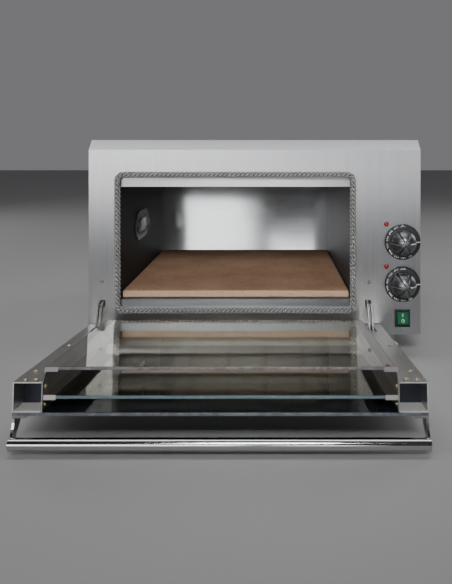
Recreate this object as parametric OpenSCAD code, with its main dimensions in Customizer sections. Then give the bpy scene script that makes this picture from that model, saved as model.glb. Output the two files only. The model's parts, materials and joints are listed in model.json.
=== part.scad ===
// Electric bread oven: stainless countertop oven with one baking stone, a drop-down
// triple-glazed door shown open, two thermostat knobs and a lit mains switch.
// Millimetres, +Z up. The origin is on the table, under the middle of the open oven.

/* [Body] */
// Width of the oven body
body_w = 575; // [515:1:680]
// Height of the body without its feet
body_h = 337; // [300:1:400]
// Depth of the body from front panel to rear cover
body_d = 480; // [430:1:560]
// Sheet thickness of casing, base and rear cover
sheet_t = 1.2; // [0.8:0.1:2]
// Sheet thickness of the front panel
panel_t = 1.5; // [1:0.1:2.5]
// Height of the sloped strip along the panel's top edge
slope_h = 17; // [10:1:26]
// Depth of that sloped strip
slope_d = 18; // [10:1:26]
// Height of a foot, pad included
foot_h = 40; // [38:1:80]
// Radius of a foot
foot_r = 19; // [12:1:28]
// Distance of a foot's centre from the body's edges
foot_inset = 48; // [30:1:80]
// Thickness of the rubber pad under a foot
pad_t = 6; // [3:0.5:10]

/* [Chamber] */
// Clear depth between the insulation and the body's rear
rear_space = 32.2; // [26:0.1:60]
// Clear height between the insulation and the body's top
top_space = 17.7; // [4:0.1:40]
// Height of the mouth's lower edge above the body's bottom edge
mouth_z = 48; // [46:1:56]
// How far the chamber's floor lies below the mouth
floor_drop = 15; // [13:1:18]
// How far the chamber's ceiling lies above the mouth
ceiling_rise = 17; // [14:1:20]
// Sheet thickness of the chamber liner
liner_t = 1; // [0.8:0.1:1.5]
// Insulation thickness above and behind the liner
wool_t = 30; // [20:1:34]
// Insulation thickness beside the liner
wool_side_t = 16; // [8:1:18]
// Insulation thickness under the liner
wool_floor_t = 24; // [15:1:26]
// Gap between the baking stone and the chamber's side walls
stone_play = 2; // [1:0.1:10]
// Gap between the stone and the chamber's rear wall
stone_back = 3.5; // [1:0.1:20]
// Thickness of the baking stone
stone_t = 12; // [8:0.5:20]
// Distance of the stone's front edge behind the panel's face
stone_setback = 15; // [12:1:16]
// Height of the sill under the stone's front edge, from the mouth's lower edge
sill_h = 12.4; // [11:0.1:18]
// Height of the lip under the mouth's upper edge
lip_h = 15; // [10:1:25]
// Diameter of a tubular heating element
element_dia = 8; // [6:0.5:9]
// Distance of a heating element's outer runs from the side walls
element_margin = 51; // [40:1:70]

/* [Gasket] */
// Width of the rope gasket around the mouth
gasket_w = 11.5; // [9:0.1:14]
// How far the gasket stands out of the panel
gasket_out = 8.5; // [6:0.1:10]
// How far the gasket overhangs the mouth's side edges
gasket_lap = 3; // [0:0.1:4]
// Bend radius of the gasket's corners at the middle of the rope
gasket_r = 10; // [9:0.5:20]

/* [Door] */
// Angle of the open door above the horizontal
open_tilt = 4.62; // [0:0.01:10]
// Distance of the hinge axis in front of the panel
pivot_out = 31.4; // [30:0.1:40]
// Height of the hinge axis above the body's bottom edge
pivot_z = 13.4; // [11:0.1:18]
// Depth of the hinge axis below the inner face of the uprights
pivot_below = 7.5; // [7:0.1:9]
// Distance of the door's left edge from the body's left edge
door_margin = 3.5; // [1:0.1:10]
// Width of a door upright
upright_w = 34.5; // [32:0.5:42]
// Thickness of a door upright
upright_t = 35.7; // [32:0.1:42]
// Sheet thickness of the uprights and glazing walls
fold_t = 1.5; // [1:0.1:2]
// Gap between the gasket and the glazing walls
wall_margin = 4.7; // [2:0.1:10]
// Gap between the gasket and the inner pane of the closed door
seal_gap = 0.4; // [0.3:0.1:1]
// Width of the flange that the inner pane lies on
flange_w = 16.4; // [10:0.1:20]
// Thickness of the inner and middle panes
pane_t = 4; // [3:0.1:4]
// Thickness of the tinted outer pane
outer_pane_t = 4.2; // [3:0.1:6]
// How far the inner pane reaches past the gasket at the door's free end
pane_overlap = 4; // [2:0.1:10]
// How far the inner pane reaches past the gasket at the hinge end
pane_tail = 13; // [4:0.1:13]
// Length of the uprights past the inner pane
upright_past = 10.4; // [9:0.1:20]
// Distance between the panel and the open door's hinge end
door_gap = 4; // [3.5:0.1:5]
// Depth of the middle pane's upper face below the uprights' face
middle_drop = 16.8; // [12:0.1:20]
// Width of the strips that hold the middle pane
holder_w = 15; // [10:0.5:20]
// Sheet thickness of those strips
holder_t = 0.8; // [0.6:0.1:1.2]

/* [Handle] */
// Radius of the handle bar
bar_r = 7.5; // [6:0.1:10]
// Distance of the bar's axis from the outer pane
bar_out = 30.6; // [26:0.1:31]
// Distance of the bar's axis past the door's end
bar_past = 4.7; // [0:0.1:10]
// Thickness of a handle bracket
bracket_t = 3; // [2:0.1:5]
// Length of a bracket's foot along the door
bracket_foot = 27; // [20:1:40]

/* [Hinges] */
// Distance of a hinge from the inner edge of its upright
hinge_in = 14.5; // [14:0.1:18]
// Radius of a hinge pin
pin_r = 3.5; // [2.5:0.1:4]
// Plate thickness of claws, receivers and hinge bodies
plate_t = 2; // [1.5:0.1:2.5]
// Clear gap between the two cheeks of a claw
claw_gap = 4; // [3:0.1:6]
// Width of a claw's arm
claw_w = 9; // [7:0.1:10]
// Height of the claw's slot in the panel, at its middle
claw_z = 53.6; // [50:0.1:58]
// Reach of the claw's bend in front of the panel
claw_bend = 10; // [8:0.1:12]
// Clear width inside a hinge body
hinge_clear = 17; // [16:0.5:18]
// Length of a hinge body past its axis
hinge_len = 150; // [130:1:200]
// Radius of the spring rod
rod_r = 3; // [2:0.1:3.5]
// Wire radius of the hinge spring
wire_r = 0.9; // [0.6:0.1:1.1]
// Radius of the spring's turns at the middle of the wire
coil_r = 6.6; // [5.5:0.1:7]
// Turns of the hinge spring
coil_turns = 14; // [8:1:20]

/* [Controls] */
// Width of the control strip beside the door
control_w = 70.5; // [70:0.5:90]
// Distance of the controls' axis from the body's right edge
control_in = 31.5; // [31:0.5:40]
// Height of the lower knob's axis
knob_low_z = 87.7; // [80:0.1:100]
// Distance between the two knobs' axes
knob_step = 73; // [66:0.1:90]
// Radius of a knob's numbered skirt
skirt_r = 31; // [26:0.5:31]
// Radius of a knob's grip
grip_r = 21.5; // [19:0.1:24]
// Height of a knob's crown in front of the panel
knob_h = 31; // [24:0.5:36]
// Creases around a knob's grip
creases = 6; // [4:1:9]
// Radius of the thermostat shafts
shaft_r = 3; // [2:0.1:4]
// Running clearance around shafts and pins
run_fit = 0.05; // [0.02:0.01:0.1]
// Radius of a pilot lamp
pilot_r = 4; // [3:0.1:6]
// Distance of a pilot lamp beside its knob's axis
pilot_side = 27.5; // [26:0.1:40]
// Height of a pilot lamp above its knob's axis
pilot_up = 30.4; // [24:0.1:34]
// Height of the mains switch's axis
switch_z = 28.5; // [24:0.1:40]
// Width of the switch's bezel
bezel_w = 26; // [24:0.5:32]
// Height of the switch's bezel
bezel_h = 30; // [28:0.5:36]
// Tilt of the switch's rocker each way
rocker_tilt = 8; // [4:0.5:10]

/* [Rear] */
// Radius of the cable gland's bore
gland_bore_r = 6; // [4:0.1:8]
// Length of the gland outside the rear cover
gland_out = 24; // [18:0.5:40]
// Distance of the gland from the body's right edge
gland_in = 60; // [40:1:100]
// Height of the gland above the body's bottom edge
gland_z = 60; // [50:1:90]

/* [Hidden] */
$fn = 48;
// Side gap between neighbouring pieces
fit = 0.3;
// Overshoot of cutting tools
cut = 1;
// The door and the control strip share the body's width; the mouth, the stone and the elements
// take what the door's uprights, the gasket and the insulation leave
chamber_w = body_w - door_margin - control_w
    - 2 * (upright_w + fit + fold_t + wall_margin + gasket_w - gasket_lap);
chamber_d = body_d - rear_space - wool_t - fit - liner_t - panel_t;
mouth_h = body_h - top_space - wool_t - fit - liner_t - ceiling_rise - mouth_z;
stone_w = chamber_w - 2 * stone_play;
stone_d = panel_t + chamber_d - stone_setback - stone_back;
element_pitch = (chamber_w - 2 * element_margin) / 3;
mouth_top = mouth_z + mouth_h;
floor_z = mouth_z - floor_drop;
ceiling_z = mouth_top + ceiling_rise;
wall_x = chamber_w / 2 - gasket_lap + gasket_w + wall_margin;
upright_x = wall_x + fold_t + fit;
door_half = upright_x + upright_w;
door_x = -body_w / 2 + door_margin + door_half;
hinge_x = upright_x + hinge_in;

// Door frame: x across, y = -u with u running from the hinge axis to the free end,
// z = w, square to the panes and towards the oven when the door is closed
face_w = pivot_below;
back_w = face_w - upright_t;
glass_w = back_w - outer_pane_t;
flange_top = pivot_out - gasket_out - seal_gap - pane_t;
hinge_end = -(pivot_out - door_gap);
pane_u0 = mouth_z - gasket_w - pane_tail - pivot_z;
pane_u1 = mouth_top + gasket_w + pane_overlap - pivot_z;
free_end = pane_u1 + upright_past;
middle_top = face_w - middle_drop;
bar_u = free_end + bar_past;
bar_w = glass_w - bar_out;
close_angle = 90 - open_tilt;

// The handle bar is the foremost point of the open oven, the gland the rearmost
door_reach = pivot_out + bar_u * cos(open_tilt) - bar_w * sin(open_tilt) + bar_r;
panel_y = (door_reach - body_d - gland_out) / 2;
echo(panel_y = panel_y, door_x = door_x, hinge_x = hinge_x, door_reach = door_reach, close = close_angle);

control_x = body_w / 2 - control_in;
knob_z = [knob_low_z, knob_low_z + knob_step];
inner_half = body_w / 2 - sheet_t;
rear_y = body_d - sheet_t;
gland_x = body_w / 2 - gland_in;
stone_z = mouth_z + sill_h;
element_r = element_dia / 2;
upper_element_z = mouth_top + ceiling_rise / 2;
lower_element_z = floor_z + 11;

// Placing and shaping helpers

// Body frame: x from the body's middle, y from the panel's face inwards, z from the bottom edge
module place_body() {
    translate([0, panel_y, foot_h]) children();
}

// Oven frame: the body frame with x from the middle of the chamber and door
module place_oven() {
    place_body() translate([door_x, 0, 0]) children();
}

module place_door() {
    place_oven() translate([0, -pivot_out, pivot_z]) rotate([-open_tilt, 0, 0]) children();
}

// Right side is modelled; the left one is its mirror image
module on_side(side) {
    if (side == "left") mirror([1, 0, 0]) children();
    else children();
}

module both_sides() {
    children();
    mirror([1, 0, 0]) children();
}

module box(x, y, z) {
    translate([x[0], y[0], z[0]]) cube([x[1] - x[0], y[1] - y[0], z[1] - z[0]]);
}

// A box in the door frame, given by its range along u
module door_box(x, u, w) {
    box(x, [-u[1], -u[0]], w);
}

// Extrudes a (y, z) outline across the oven
module along_x(x0, x1) {
    rotate([90, 0, 90]) translate([0, 0, x0]) linear_extrude(x1 - x0) children();
}

// Extrudes an (x, w) outline along the door
module along_u(u0, u1) {
    rotate([90, 0, 0]) translate([0, 0, u0]) linear_extrude(u1 - u0) children();
}

// Cylinder along X, Y (towards the front) or along the door's u
module rod_x(r, x0, x1) {
    translate([x0, 0, 0]) rotate([0, 90, 0]) cylinder(r = r, h = x1 - x0);
}

module rod_y(r, y0, y1) {
    translate([0, y1, 0]) rotate([90, 0, 0]) cylinder(r = r, h = y1 - y0);
}

// Flat bar with round ends between two points of a plane
module bar2d(a, b, w) {
    d = b - a;
    translate(a) rotate(atan2(d[1], d[0])) translate([0, -w / 2]) square([norm(d), w]);
    translate(a) circle(d = w);
    translate(b) circle(d = w);
}

module stadium(l, h) {
    square([l - h, h], center = true);
    for (s = [-1, 1]) translate([s * (l - h) / 2, 0]) circle(d = h);
}

function bezier(a, b, c, t) = (1 - t) * (1 - t) * a + 2 * t * (1 - t) * b + t * t * c;

// Pan-head screw, head only, standing up on z = 0
module screw_head(r) {
    head = r * 0.55;
    drive = r * 0.3;
    difference() {
        rotate_extrude() polygon([[0, 0], [r, 0], [r, head * 0.5], [r * 0.7, head], [0, head]]);
        for (a = [0, 90]) rotate(a) translate([-r * 0.55, -drive / 2, head * 0.55])
            cube([r * 1.1, drive, head]);
    }
}

// Casing

// Sloped strip: its inner face lies one sheet thickness behind the outer one
slope_len = norm([slope_d, slope_h]);
slope_y0 = panel_t * slope_h / slope_len;
slope_z0 = body_h - slope_h - panel_t * slope_d / slope_len;
function slope_z(y) = slope_z0 + (y - slope_y0) * slope_h / slope_d;
function slope_y(z) = slope_y0 + (z - slope_z0) * slope_d / slope_h;
return_d = 14;
return_z = body_h - sheet_t - panel_t;
claw_half = claw_gap / 2 + plate_t;
slot_half = claw_half + cut;
slot_rise = claw_w / 2 + 1.5;
bush_r = 5;
switch_body = [bezel_w / 2 - 1.5, bezel_h / 2 - 1.5];

module panel_outline() {
    polygon([
        [0, 0], [0, body_h - slope_h], [slope_d, body_h], [slope_d, body_h - sheet_t],
        [slope_d + return_d, body_h - sheet_t], [slope_d + return_d, return_z],
        [slope_y(return_z), return_z], [panel_t, slope_z(panel_t)],
        [panel_t, panel_t], [return_d, panel_t], [return_d, 0]]);
}

// Brushed stainless front with the mouth, the claw slots and the holes for the controls
module front_panel() color("silver") place_body() difference() {
    along_x(-body_w / 2, body_w / 2) panel_outline();
    both_sides() {
        box([inner_half - fit, body_w], [slope_d, slope_d + return_d + cut],
            [return_z - cut, body_h - sheet_t + 0.01]);
        box([inner_half - fit, body_w], [panel_t, return_d + cut], [-cut, panel_t + cut]);
    }
    translate([door_x, 0, 0]) {
        box([-chamber_w / 2, chamber_w / 2], [-cut, panel_t + cut], [mouth_z, mouth_top]);
        both_sides() box([hinge_x - slot_half, hinge_x + slot_half], [-cut, panel_t + cut],
            [claw_z - slot_rise, claw_z + slot_rise]);
    }
    for (z = knob_z) {
        translate([control_x, 0, z]) rod_y(bush_r + fit, -cut, panel_t + cut);
        translate([control_x - pilot_side, 0, z + pilot_up]) rod_y(pilot_r + fit, -cut, panel_t + cut);
    }
    box([control_x - switch_body[0] - fit, control_x + switch_body[0] + fit], [-cut, panel_t + cut],
        [switch_z - switch_body[1] - fit, switch_z + switch_body[1] + fit]);
}

vent_count = 8;
vent_pitch = 16;
vent_w = 4;
vent_h = 60;
vent_z = 40;

// Folded stainless cover: top and both sides in one sheet, with cooling slots near the rear
module outer_casing() color("gainsboro") place_body() difference() {
    union() {
        both_sides() along_x(inner_half, body_w / 2) polygon([
            [panel_t, 0], [panel_t, slope_z(panel_t) - fit],
            [slope_d + fit, slope_z(slope_d + fit) - fit], [slope_d + fit, body_h],
            [body_d, body_h], [body_d, 0]]);
        box([-body_w / 2, body_w / 2], [slope_d + fit, body_d], [body_h - sheet_t, body_h]);
    }
    for (i = [1:vent_count]) box([-body_w, body_w],
        [body_d - vent_w - i * vent_pitch, body_d - i * vent_pitch], [vent_z, vent_z + vent_h]);
}

rear_slot_w = 90;
rear_slot_h = 5;
rear_slot_pitch = 14;
gland_thread_r = gland_bore_r + 4;

// Rear sheet with three columns of cooling slots and the hole for the cable gland
module rear_cover() color("lightgray") place_body() difference() {
    box([-inner_half + fit, inner_half - fit], [rear_y, body_d], [0, body_h - sheet_t - fit]);
    for (column = [-1:1], row = [0:6])
        translate([column * (rear_slot_w + 50), 0, body_h - 60 - row * rear_slot_pitch])
            box([-rear_slot_w / 2, rear_slot_w / 2], [rear_y - cut, body_d + cut], [0, rear_slot_h]);
    translate([gland_x, 0, gland_z]) rod_y(gland_thread_r + fit, rear_y - cut, body_d + cut);
}

module base_plate() color("gray") place_body()
    box([-inner_half + fit, inner_half - fit], [return_d + fit, rear_y - fit], [0, sheet_t]);

module at_feet() {
    for (sx = [-1, 1], y = [foot_inset, body_d - foot_inset])
        translate([sx * (body_w / 2 - foot_inset), y, 0]) children();
}

// Four turned feet with a waist and a levelling flange
module feet() color("darkgray") place_body() at_feet()
    rotate_extrude() polygon([
        [0, 0], [foot_r * 0.8, 0], [foot_r * 0.8, -5], [foot_r * 0.65, -8],
        [foot_r * 0.65, pad_t - foot_h + 8], [foot_r, pad_t - foot_h + 3], [foot_r, pad_t - foot_h],
        [0, pad_t - foot_h]]);

module foot_pads() color("dimgray") place_body() at_feet()
    rotate_extrude() polygon([
        [0, pad_t - foot_h], [foot_r, pad_t - foot_h], [foot_r, 1.5 - foot_h], [foot_r - 1.5, -foot_h],
        [0, -foot_h]]);

screw_edge = 20;
screw_rear = 16;

module casing_screws() color("lightgray") place_body() {
    both_sides()
        for (y = [2 * screw_edge, body_d / 2, body_d - screw_edge], z = [screw_edge, body_h - screw_edge])
            translate([body_w / 2, y, z]) rotate([0, 90, 0]) screw_head(3);
    for (sx = [-1, 0, 1], z = [screw_rear, body_h - screw_rear])
        translate([sx * (inner_half - screw_rear), body_d, z]) rotate([-90, 0, 0]) screw_head(3);
}

module panel_screws() color("lightgray") place_oven() both_sides()
    translate([hinge_x + 1, 0, claw_z + 37.3]) rotate([90, 0, 0]) screw_head(3.4);

// Baking chamber

liner_back = panel_t + chamber_d;
liner_half = chamber_w / 2 + liner_t;
lamp_l = 100;
lamp_h = 40;
lamp_y = chamber_d * 3 / 7;
lamp_z = mouth_z + mouth_h * 0.54;
bulb_r = 3;
bulb_x = chamber_w / 2 - 8;
bulb_y = [130, 220];
capillary_r = 1;
capillary_y = 115;
bulb_z = [lower_element_z + 2, upper_element_z];
element_ends = [-1.5 * element_pitch, 1.5 * element_pitch];
flange_r = element_r + 5;

// Lamp frame: z points from the left wall into the chamber, x along the depth, y up
module place_lamp() {
    place_oven() translate([-chamber_w / 2, lamp_y, lamp_z]) rotate([90, 0, 90]) children();
}

module at_element_ends(y0, y1, r) {
    for (x = element_ends, z = [lower_element_z, upper_element_z])
        translate([x, 0, z]) rod_y(r, y0, y1);
}

// Polished stainless box around the baking space, open at the mouth
module chamber_liner() color("whitesmoke") difference() {
    place_oven() difference() {
        box([-liner_half, liner_half], [panel_t, liner_back + liner_t],
            [floor_z - liner_t, ceiling_z + liner_t]);
        box([-chamber_w / 2, chamber_w / 2], [panel_t + liner_t, liner_back], [floor_z, ceiling_z]);
        box([-chamber_w / 2, chamber_w / 2], [0, liner_back], [mouth_z, mouth_top]);
        at_element_ends(liner_back - cut, liner_back + liner_t + cut, element_r + fit);
        for (z = bulb_z) translate([0, capillary_y, z])
            rod_x(capillary_r + fit, chamber_w / 2 - cut, liner_half + cut);
    }
    place_lamp() translate([0, 0, -liner_t - cut]) linear_extrude(liner_t + 2 * cut)
        stadium(lamp_l, lamp_h);
}

wool_front = 40;
wool_half = liner_half + fit + wool_side_t;

// Mineral-wool jacket around the liner, open at the front
module insulation_jacket() color("khaki") difference() {
    place_oven() difference() {
        box([-wool_half, wool_half], [wool_front, liner_back + liner_t + fit + wool_t],
            [floor_z - liner_t - fit - wool_floor_t, ceiling_z + liner_t + fit + wool_t]);
        box([-liner_half - fit, liner_half + fit], [0, liner_back + liner_t + fit],
            [floor_z - liner_t - fit, ceiling_z + liner_t + fit]);
        at_element_ends(liner_back, body_d, flange_r + fit);
        for (z = bulb_z) translate([0, capillary_y, z])
            rod_x(capillary_r + 2 * fit, liner_half, wool_half + cut);
    }
    place_lamp() translate([0, 0, -wool_side_t - 2 * cut - liner_t]) linear_extrude(wool_side_t + 2 * cut)
        stadium(lamp_l + 14, lamp_h + 14);
}

lip_t = 1.2;

// Bright strip under the mouth's upper edge, with its foot behind the liner's front flange
module top_lip() color("white") place_oven() along_x(-chamber_w / 2 + fit, chamber_w / 2 - fit)
    polygon([
        [panel_t + liner_t, mouth_top - lip_h], [panel_t + liner_t, mouth_top + 9],
        [panel_t + liner_t + lip_t, mouth_top + 9], [panel_t + liner_t + lip_t, mouth_top - lip_h + lip_t],
        [panel_t + liner_t + 8, mouth_top - lip_h + lip_t], [panel_t + liner_t + 8, mouth_top - lip_h]]);

sill_notch_pitch = 16;
sill_notch_w = 9;
sill_notch_h = 0.7;
sill_y = panel_t + liner_t;
sill_d = 30;

// Sill under the stone's front edge, notched along its top so that heat rises past the stone
module front_sill() color("white") place_oven() difference() {
    along_x(-chamber_w / 2 + fit, chamber_w / 2 - fit) polygon([
        [sill_y, floor_z], [sill_y, stone_z], [sill_y + sill_d, stone_z],
        [sill_y + sill_d, stone_z - lip_t - sill_notch_h],
        [sill_y + lip_t, stone_z - lip_t - sill_notch_h], [sill_y + lip_t, floor_z]]);
    for (x = [-chamber_w / 2 + sill_notch_pitch : sill_notch_pitch : chamber_w / 2 - sill_notch_pitch])
        translate([x, 0, 0]) box([-sill_notch_w / 2, sill_notch_w / 2], [sill_y - cut, sill_y + sill_d + cut],
            [stone_z - sill_notch_h, stone_z + cut]);
}

rail_t = 1.5;
ledge_w = 18;
rail_half = 10;
rail_end = 42;
rail_y = [rail_end + 8, liner_back - rail_end];

// Two wall ledges and a middle channel that carry the stone
module stone_rails() color("lightgray") place_oven() {
    difference() {
        both_sides() along_ledge();
        translate([0, capillary_y, bulb_z[0]]) rod_x(capillary_r + fit, 0, liner_half);
    }
    box([-rail_half, rail_half], rail_y, [stone_z - rail_t, stone_z]);
    for (x = [-rail_half, rail_half - rail_t])
        box([x, x + rail_t], rail_y, [floor_z, stone_z - rail_t]);
}

module along_ledge() {
    box([chamber_w / 2 - ledge_w, chamber_w / 2], rail_y, [stone_z - rail_t, stone_z]);
    box([chamber_w / 2 - rail_t, chamber_w / 2], rail_y, [floor_z, stone_z - rail_t]);
}

stone_edge = 1.2;

// Fired-clay baking stone with eased upper edges
module baking_stone() color("tan") place_oven() translate([0, stone_setback, stone_z]) difference() {
    box([-stone_w / 2, stone_w / 2], [0, stone_d], [0, stone_t]);
    for (y = [0, stone_d]) translate([-stone_w, y, stone_t]) rotate([45, 0, 0])
        cube([2 * stone_w, stone_edge, stone_edge], center = false);
    for (x = [-stone_w / 2, stone_w / 2]) translate([x, -cut, stone_t]) rotate([0, 45, 0])
        translate([-stone_edge / 2, 0, -stone_edge / 2]) cube([stone_edge, stone_d + 2 * cut, stone_edge]);
}

bend_r = element_pitch / 2;
bend_front = panel_t + 34 + bend_r;
bend_rear = liner_back - 26 - bend_r;
element_tail = 38;

// Tubular element: four runs, two bends at the front, one at the rear, both ends through the back wall
module heating_element(z) place_oven() translate([0, 0, z]) {
    tail_y = liner_back + liner_t + element_tail;
    for (x = element_ends) translate([x, 0, 0]) {
        rod_y(element_r, bend_front, tail_y);
        rod_y(flange_r, liner_back + liner_t, liner_back + liner_t + 2);
        rod_y(1.5, tail_y, tail_y + 12);
    }
    for (x = [-bend_r, bend_r]) translate([x, 0, 0]) rod_y(element_r, bend_front, bend_rear);
    for (x = [-element_pitch, element_pitch]) translate([x, bend_front, 0]) rotate(180)
        rotate_extrude(angle = 180) translate([bend_r, 0]) circle(element_r);
    translate([0, bend_rear, 0])
        rotate_extrude(angle = 180) translate([bend_r, 0]) circle(element_r);
}

module upper_element() color("dimgray") heating_element(upper_element_z);
module lower_element() color("dimgray") heating_element(lower_element_z);

clip_y = [chamber_d * 0.36, chamber_d * 0.7];
clip_margin = 12;

// Comb plates across the chamber, bored for the element's four runs
module element_combs(element_z, z) place_oven() for (y = clip_y) difference() {
    box([element_ends[0] - clip_margin, element_ends[1] + clip_margin], [y, y + rail_t], z);
    for (i = [-1.5:1.5]) translate([i * element_pitch, 0, element_z])
        rod_y(element_r + fit, y - cut, y + rail_t + cut);
    if (element_z < mouth_top)
        box([-rail_half - fit, rail_half + fit], [y - cut, y + rail_t + cut], [floor_z - cut, mouth_top]);
}

module upper_element_clips() color("gray")
    element_combs(upper_element_z, [upper_element_z - element_r - 2.5, ceiling_z]);
module lower_element_clips() color("gray")
    element_combs(lower_element_z, [floor_z, lower_element_z + element_r + 2.5]);

// Gasket

module gasket_section() {
    intersection() {
        union() {
            translate([-gasket_w / 2, 0]) square([gasket_w, gasket_out - gasket_w / 2]);
            translate([0, gasket_out - gasket_w / 2]) circle(gasket_w / 2);
        }
        translate([-gasket_w, 0]) square([2 * gasket_w, gasket_out]);
    }
}

// Glass-fibre rope glued around the mouth, with rounded corners
module door_gasket() color("gray") place_oven() translate([0, 0, mouth_z + mouth_h / 2]) rotate([90, 0, 0]) {
    w = chamber_w + gasket_w - 2 * gasket_lap;
    h = mouth_h + gasket_w;
    for (sx = [-1, 1], sy = [-1, 1]) translate([sx * (w / 2 - gasket_r), sy * (h / 2 - gasket_r), 0])
        rotate(sx > 0 ? (sy > 0 ? 0 : 270) : (sy > 0 ? 90 : 180))
            rotate_extrude(angle = 90) translate([gasket_r, 0]) gasket_section();
    for (s = [-1, 1]) {
        translate([0, s * h / 2, 0]) rotate([90, 0, 90])
            linear_extrude(w - 2 * gasket_r, center = true) gasket_section();
        translate([s * w / 2, 0, 0]) rotate([90, 0, 0])
            linear_extrude(h - 2 * gasket_r, center = true) gasket_section();
    }
}

// Oven lamp in the left wall

lamp_frame = 8;
lamp_frame_t = 3;
lens_depth = 10;
lens_seat = 4;
holder_d = 37;
holder_wall = 2;
rib_r = 6;
lamp_base_r = 7;

module lamp_bezel() color("silver") place_lamp() linear_extrude(lamp_frame_t) difference() {
    stadium(lamp_l + 2 * lamp_frame, lamp_h + 2 * lamp_frame);
    stadium(lamp_l, lamp_h);
}

// Pressed glass lens with upright ribs
module lamp_lens() color("lightcyan") place_lamp() {
    translate([0, 0, -lens_seat]) linear_extrude(lens_seat + lamp_frame_t)
        stadium(lamp_l - 2 * fit, lamp_h - 2 * fit);
    translate([0, 0, lamp_frame_t]) intersection() {
        linear_extrude(lens_depth) stadium(lamp_l - 12, lamp_h - 12);
        for (i = [-3:3]) translate([i * 2 * rib_r, lamp_h / 2, 0]) rotate([90, 0, 0])
            cylinder(r = rib_r, h = lamp_h);
    }
}

module lamp_holder() color("lightgray") place_lamp() translate([0, 0, -holder_d]) difference() {
    linear_extrude(holder_d - liner_t) stadium(lamp_l + 2 * holder_wall + 8, lamp_h + 2 * holder_wall + 8);
    translate([0, 0, holder_wall]) linear_extrude(holder_d) stadium(lamp_l + 8, lamp_h + 8);
}

module lamp_bulb() color("white") place_lamp() translate([0, 0, holder_wall - holder_d]) {
    cylinder(r = lamp_base_r, h = 10);
    translate([0, 0, 17]) sphere(r = 10);
}

// Controls

thermostat_half = 22;
thermostat_d = 30;
bush_out = 6;
shaft_in = 18;

// Thin tube along straight legs, with a small crimp at each corner
module tube_path(points, r) {
    for (i = [0:len(points) - 2]) {
        d = points[i + 1] - points[i];
        translate(points[i]) rotate([0, acos(d[2] / norm(d)), atan2(d[1], d[0])])
            cylinder(r = r, h = norm(d), $fn = 16);
        if (i > 0) translate(points[i]) sphere(r = r + 0.15, $fn = 16);
    }
}

// Capillary thermostat: switch body behind the panel, threaded bush with its nut in front,
// and a sensing bulb on a thin tube that runs into the chamber
module thermostat(z, probe_z) {
    place_body() translate([control_x, 0, z]) difference() {
        union() {
            box([-thermostat_half, thermostat_half], [panel_t, panel_t + thermostat_d],
                [-thermostat_half, thermostat_half]);
            rod_y(bush_r, -bush_out, panel_t + cut);
            translate([0, -3, 0]) rotate([-90, 0, 0]) cylinder(r = 9, h = 3, $fn = 6);
        }
        rod_y(shaft_r + run_fit, -bush_out - cut, shaft_in);
    }
    body_x = control_x - door_x - thermostat_half;
    turn_x = body_x - 15;
    place_oven() {
        tube_path([
            [bulb_x, bulb_y[0], probe_z], [bulb_x, capillary_y, probe_z], [turn_x, capillary_y, probe_z],
            [turn_x, capillary_y, z], [turn_x, panel_t + thermostat_d / 2, z],
            [body_x + cut, panel_t + thermostat_d / 2, z]], capillary_r);
        translate([bulb_x, 0, probe_z]) rod_y(bulb_r, bulb_y[0], bulb_y[1]);
    }
}

module thermostat_upper() color("tan") thermostat(knob_z[1], bulb_z[1]);
module thermostat_lower() color("tan") thermostat(knob_z[0], bulb_z[0]);

clip_l = 4;
clip_half = bulb_r + 1.5;
clip_wall = [chamber_w / 2 - rail_t, chamber_w / 2];

// Spring clips that hold the sensing bulbs beside the chamber's right wall
module bulb_clips() color("silver") place_oven() for (y = [bulb_y[0] + 12, bulb_y[1] - 16], i = [0, 1])
    translate([0, y, bulb_z[i]]) difference() {
        box([bulb_x - clip_half, clip_wall[i]], [0, clip_l], [-clip_half, clip_half]);
        translate([bulb_x, 0, 0]) rod_y(bulb_r + fit, -cut, clip_l + cut);
    }

knob_lift = 1.8;
skirt_t = 4;
crown_base = 14;
crown_crease = 0.95;
crease_end = 2.4;
knob_bore = 22;
shaft_out = 21;

// Drafted stem with a ball's cap on it, which leaves a hair-wide step around
module knob_dome() {
    step = 0.15;
    r = grip_r - step;
    rise = knob_h - crown_base;
    dome_r = (r * r + rise * rise) / (2 * rise);
    base = knob_lift + skirt_t - 2 * cut;
    draft = 0.5;
    translate([0, 0, base]) cylinder(r1 = grip_r + draft, r2 = grip_r, h = crown_base - base);
    intersection() {
        translate([0, 0, knob_h - dome_r]) rotate([90, 0, 90 / creases]) sphere(dome_r);
        translate([0, 0, crown_base - cut]) cylinder(r = grip_r - step / 3, h = knob_h);
    }
}

module knob_crease() {
    r = grip_r + 0.9;
    back = 1.9;
    v = 5;
    low = 25;
    top = acos((crease_end + back) / r);
    rotate([90, 0, 0]) translate([-back, knob_h - crown_crease - r * sin(top), 0]) rotate(-low)
        rotate_extrude(angle = top + low) polygon([[r, 0], [r + v, -v], [r + v, v]]);
}

// Drafted dome with V creases, cut one after another, that run up its side and end at the crown
module knob_grip(n) difference() {
    if (n > 1) knob_grip(n - 1);
    else knob_dome();
    rotate(n * 360 / creases) knob_crease();
}

module knob(z) place_body() translate([control_x, 0, z]) rotate([90, 0, 0]) difference() {
    union() {
        rotate(270 / creases) rotate_extrude() polygon([
            [0, knob_lift], [skirt_r, knob_lift], [skirt_r, knob_lift + 1.2],
            [skirt_r - 2, knob_lift + skirt_t * 0.7], [grip_r, knob_lift + skirt_t],
            [0, knob_lift + skirt_t]]);
        knob_grip(creases);
    }
    translate([0, 0, knob_lift - cut]) cylinder(r = shaft_r + run_fit, h = knob_bore - knob_lift + cut);
    cylinder(r = 11, h = bush_out + 1);
}

module knob_upper() color("dimgray") knob(knob_z[1]);
module knob_lower() color("dimgray") knob(knob_z[0]);

module thermostat_shaft(z) place_body() translate([control_x, 0, z])
    rod_y(shaft_r, -shaft_out, shaft_in - cut);

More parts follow.
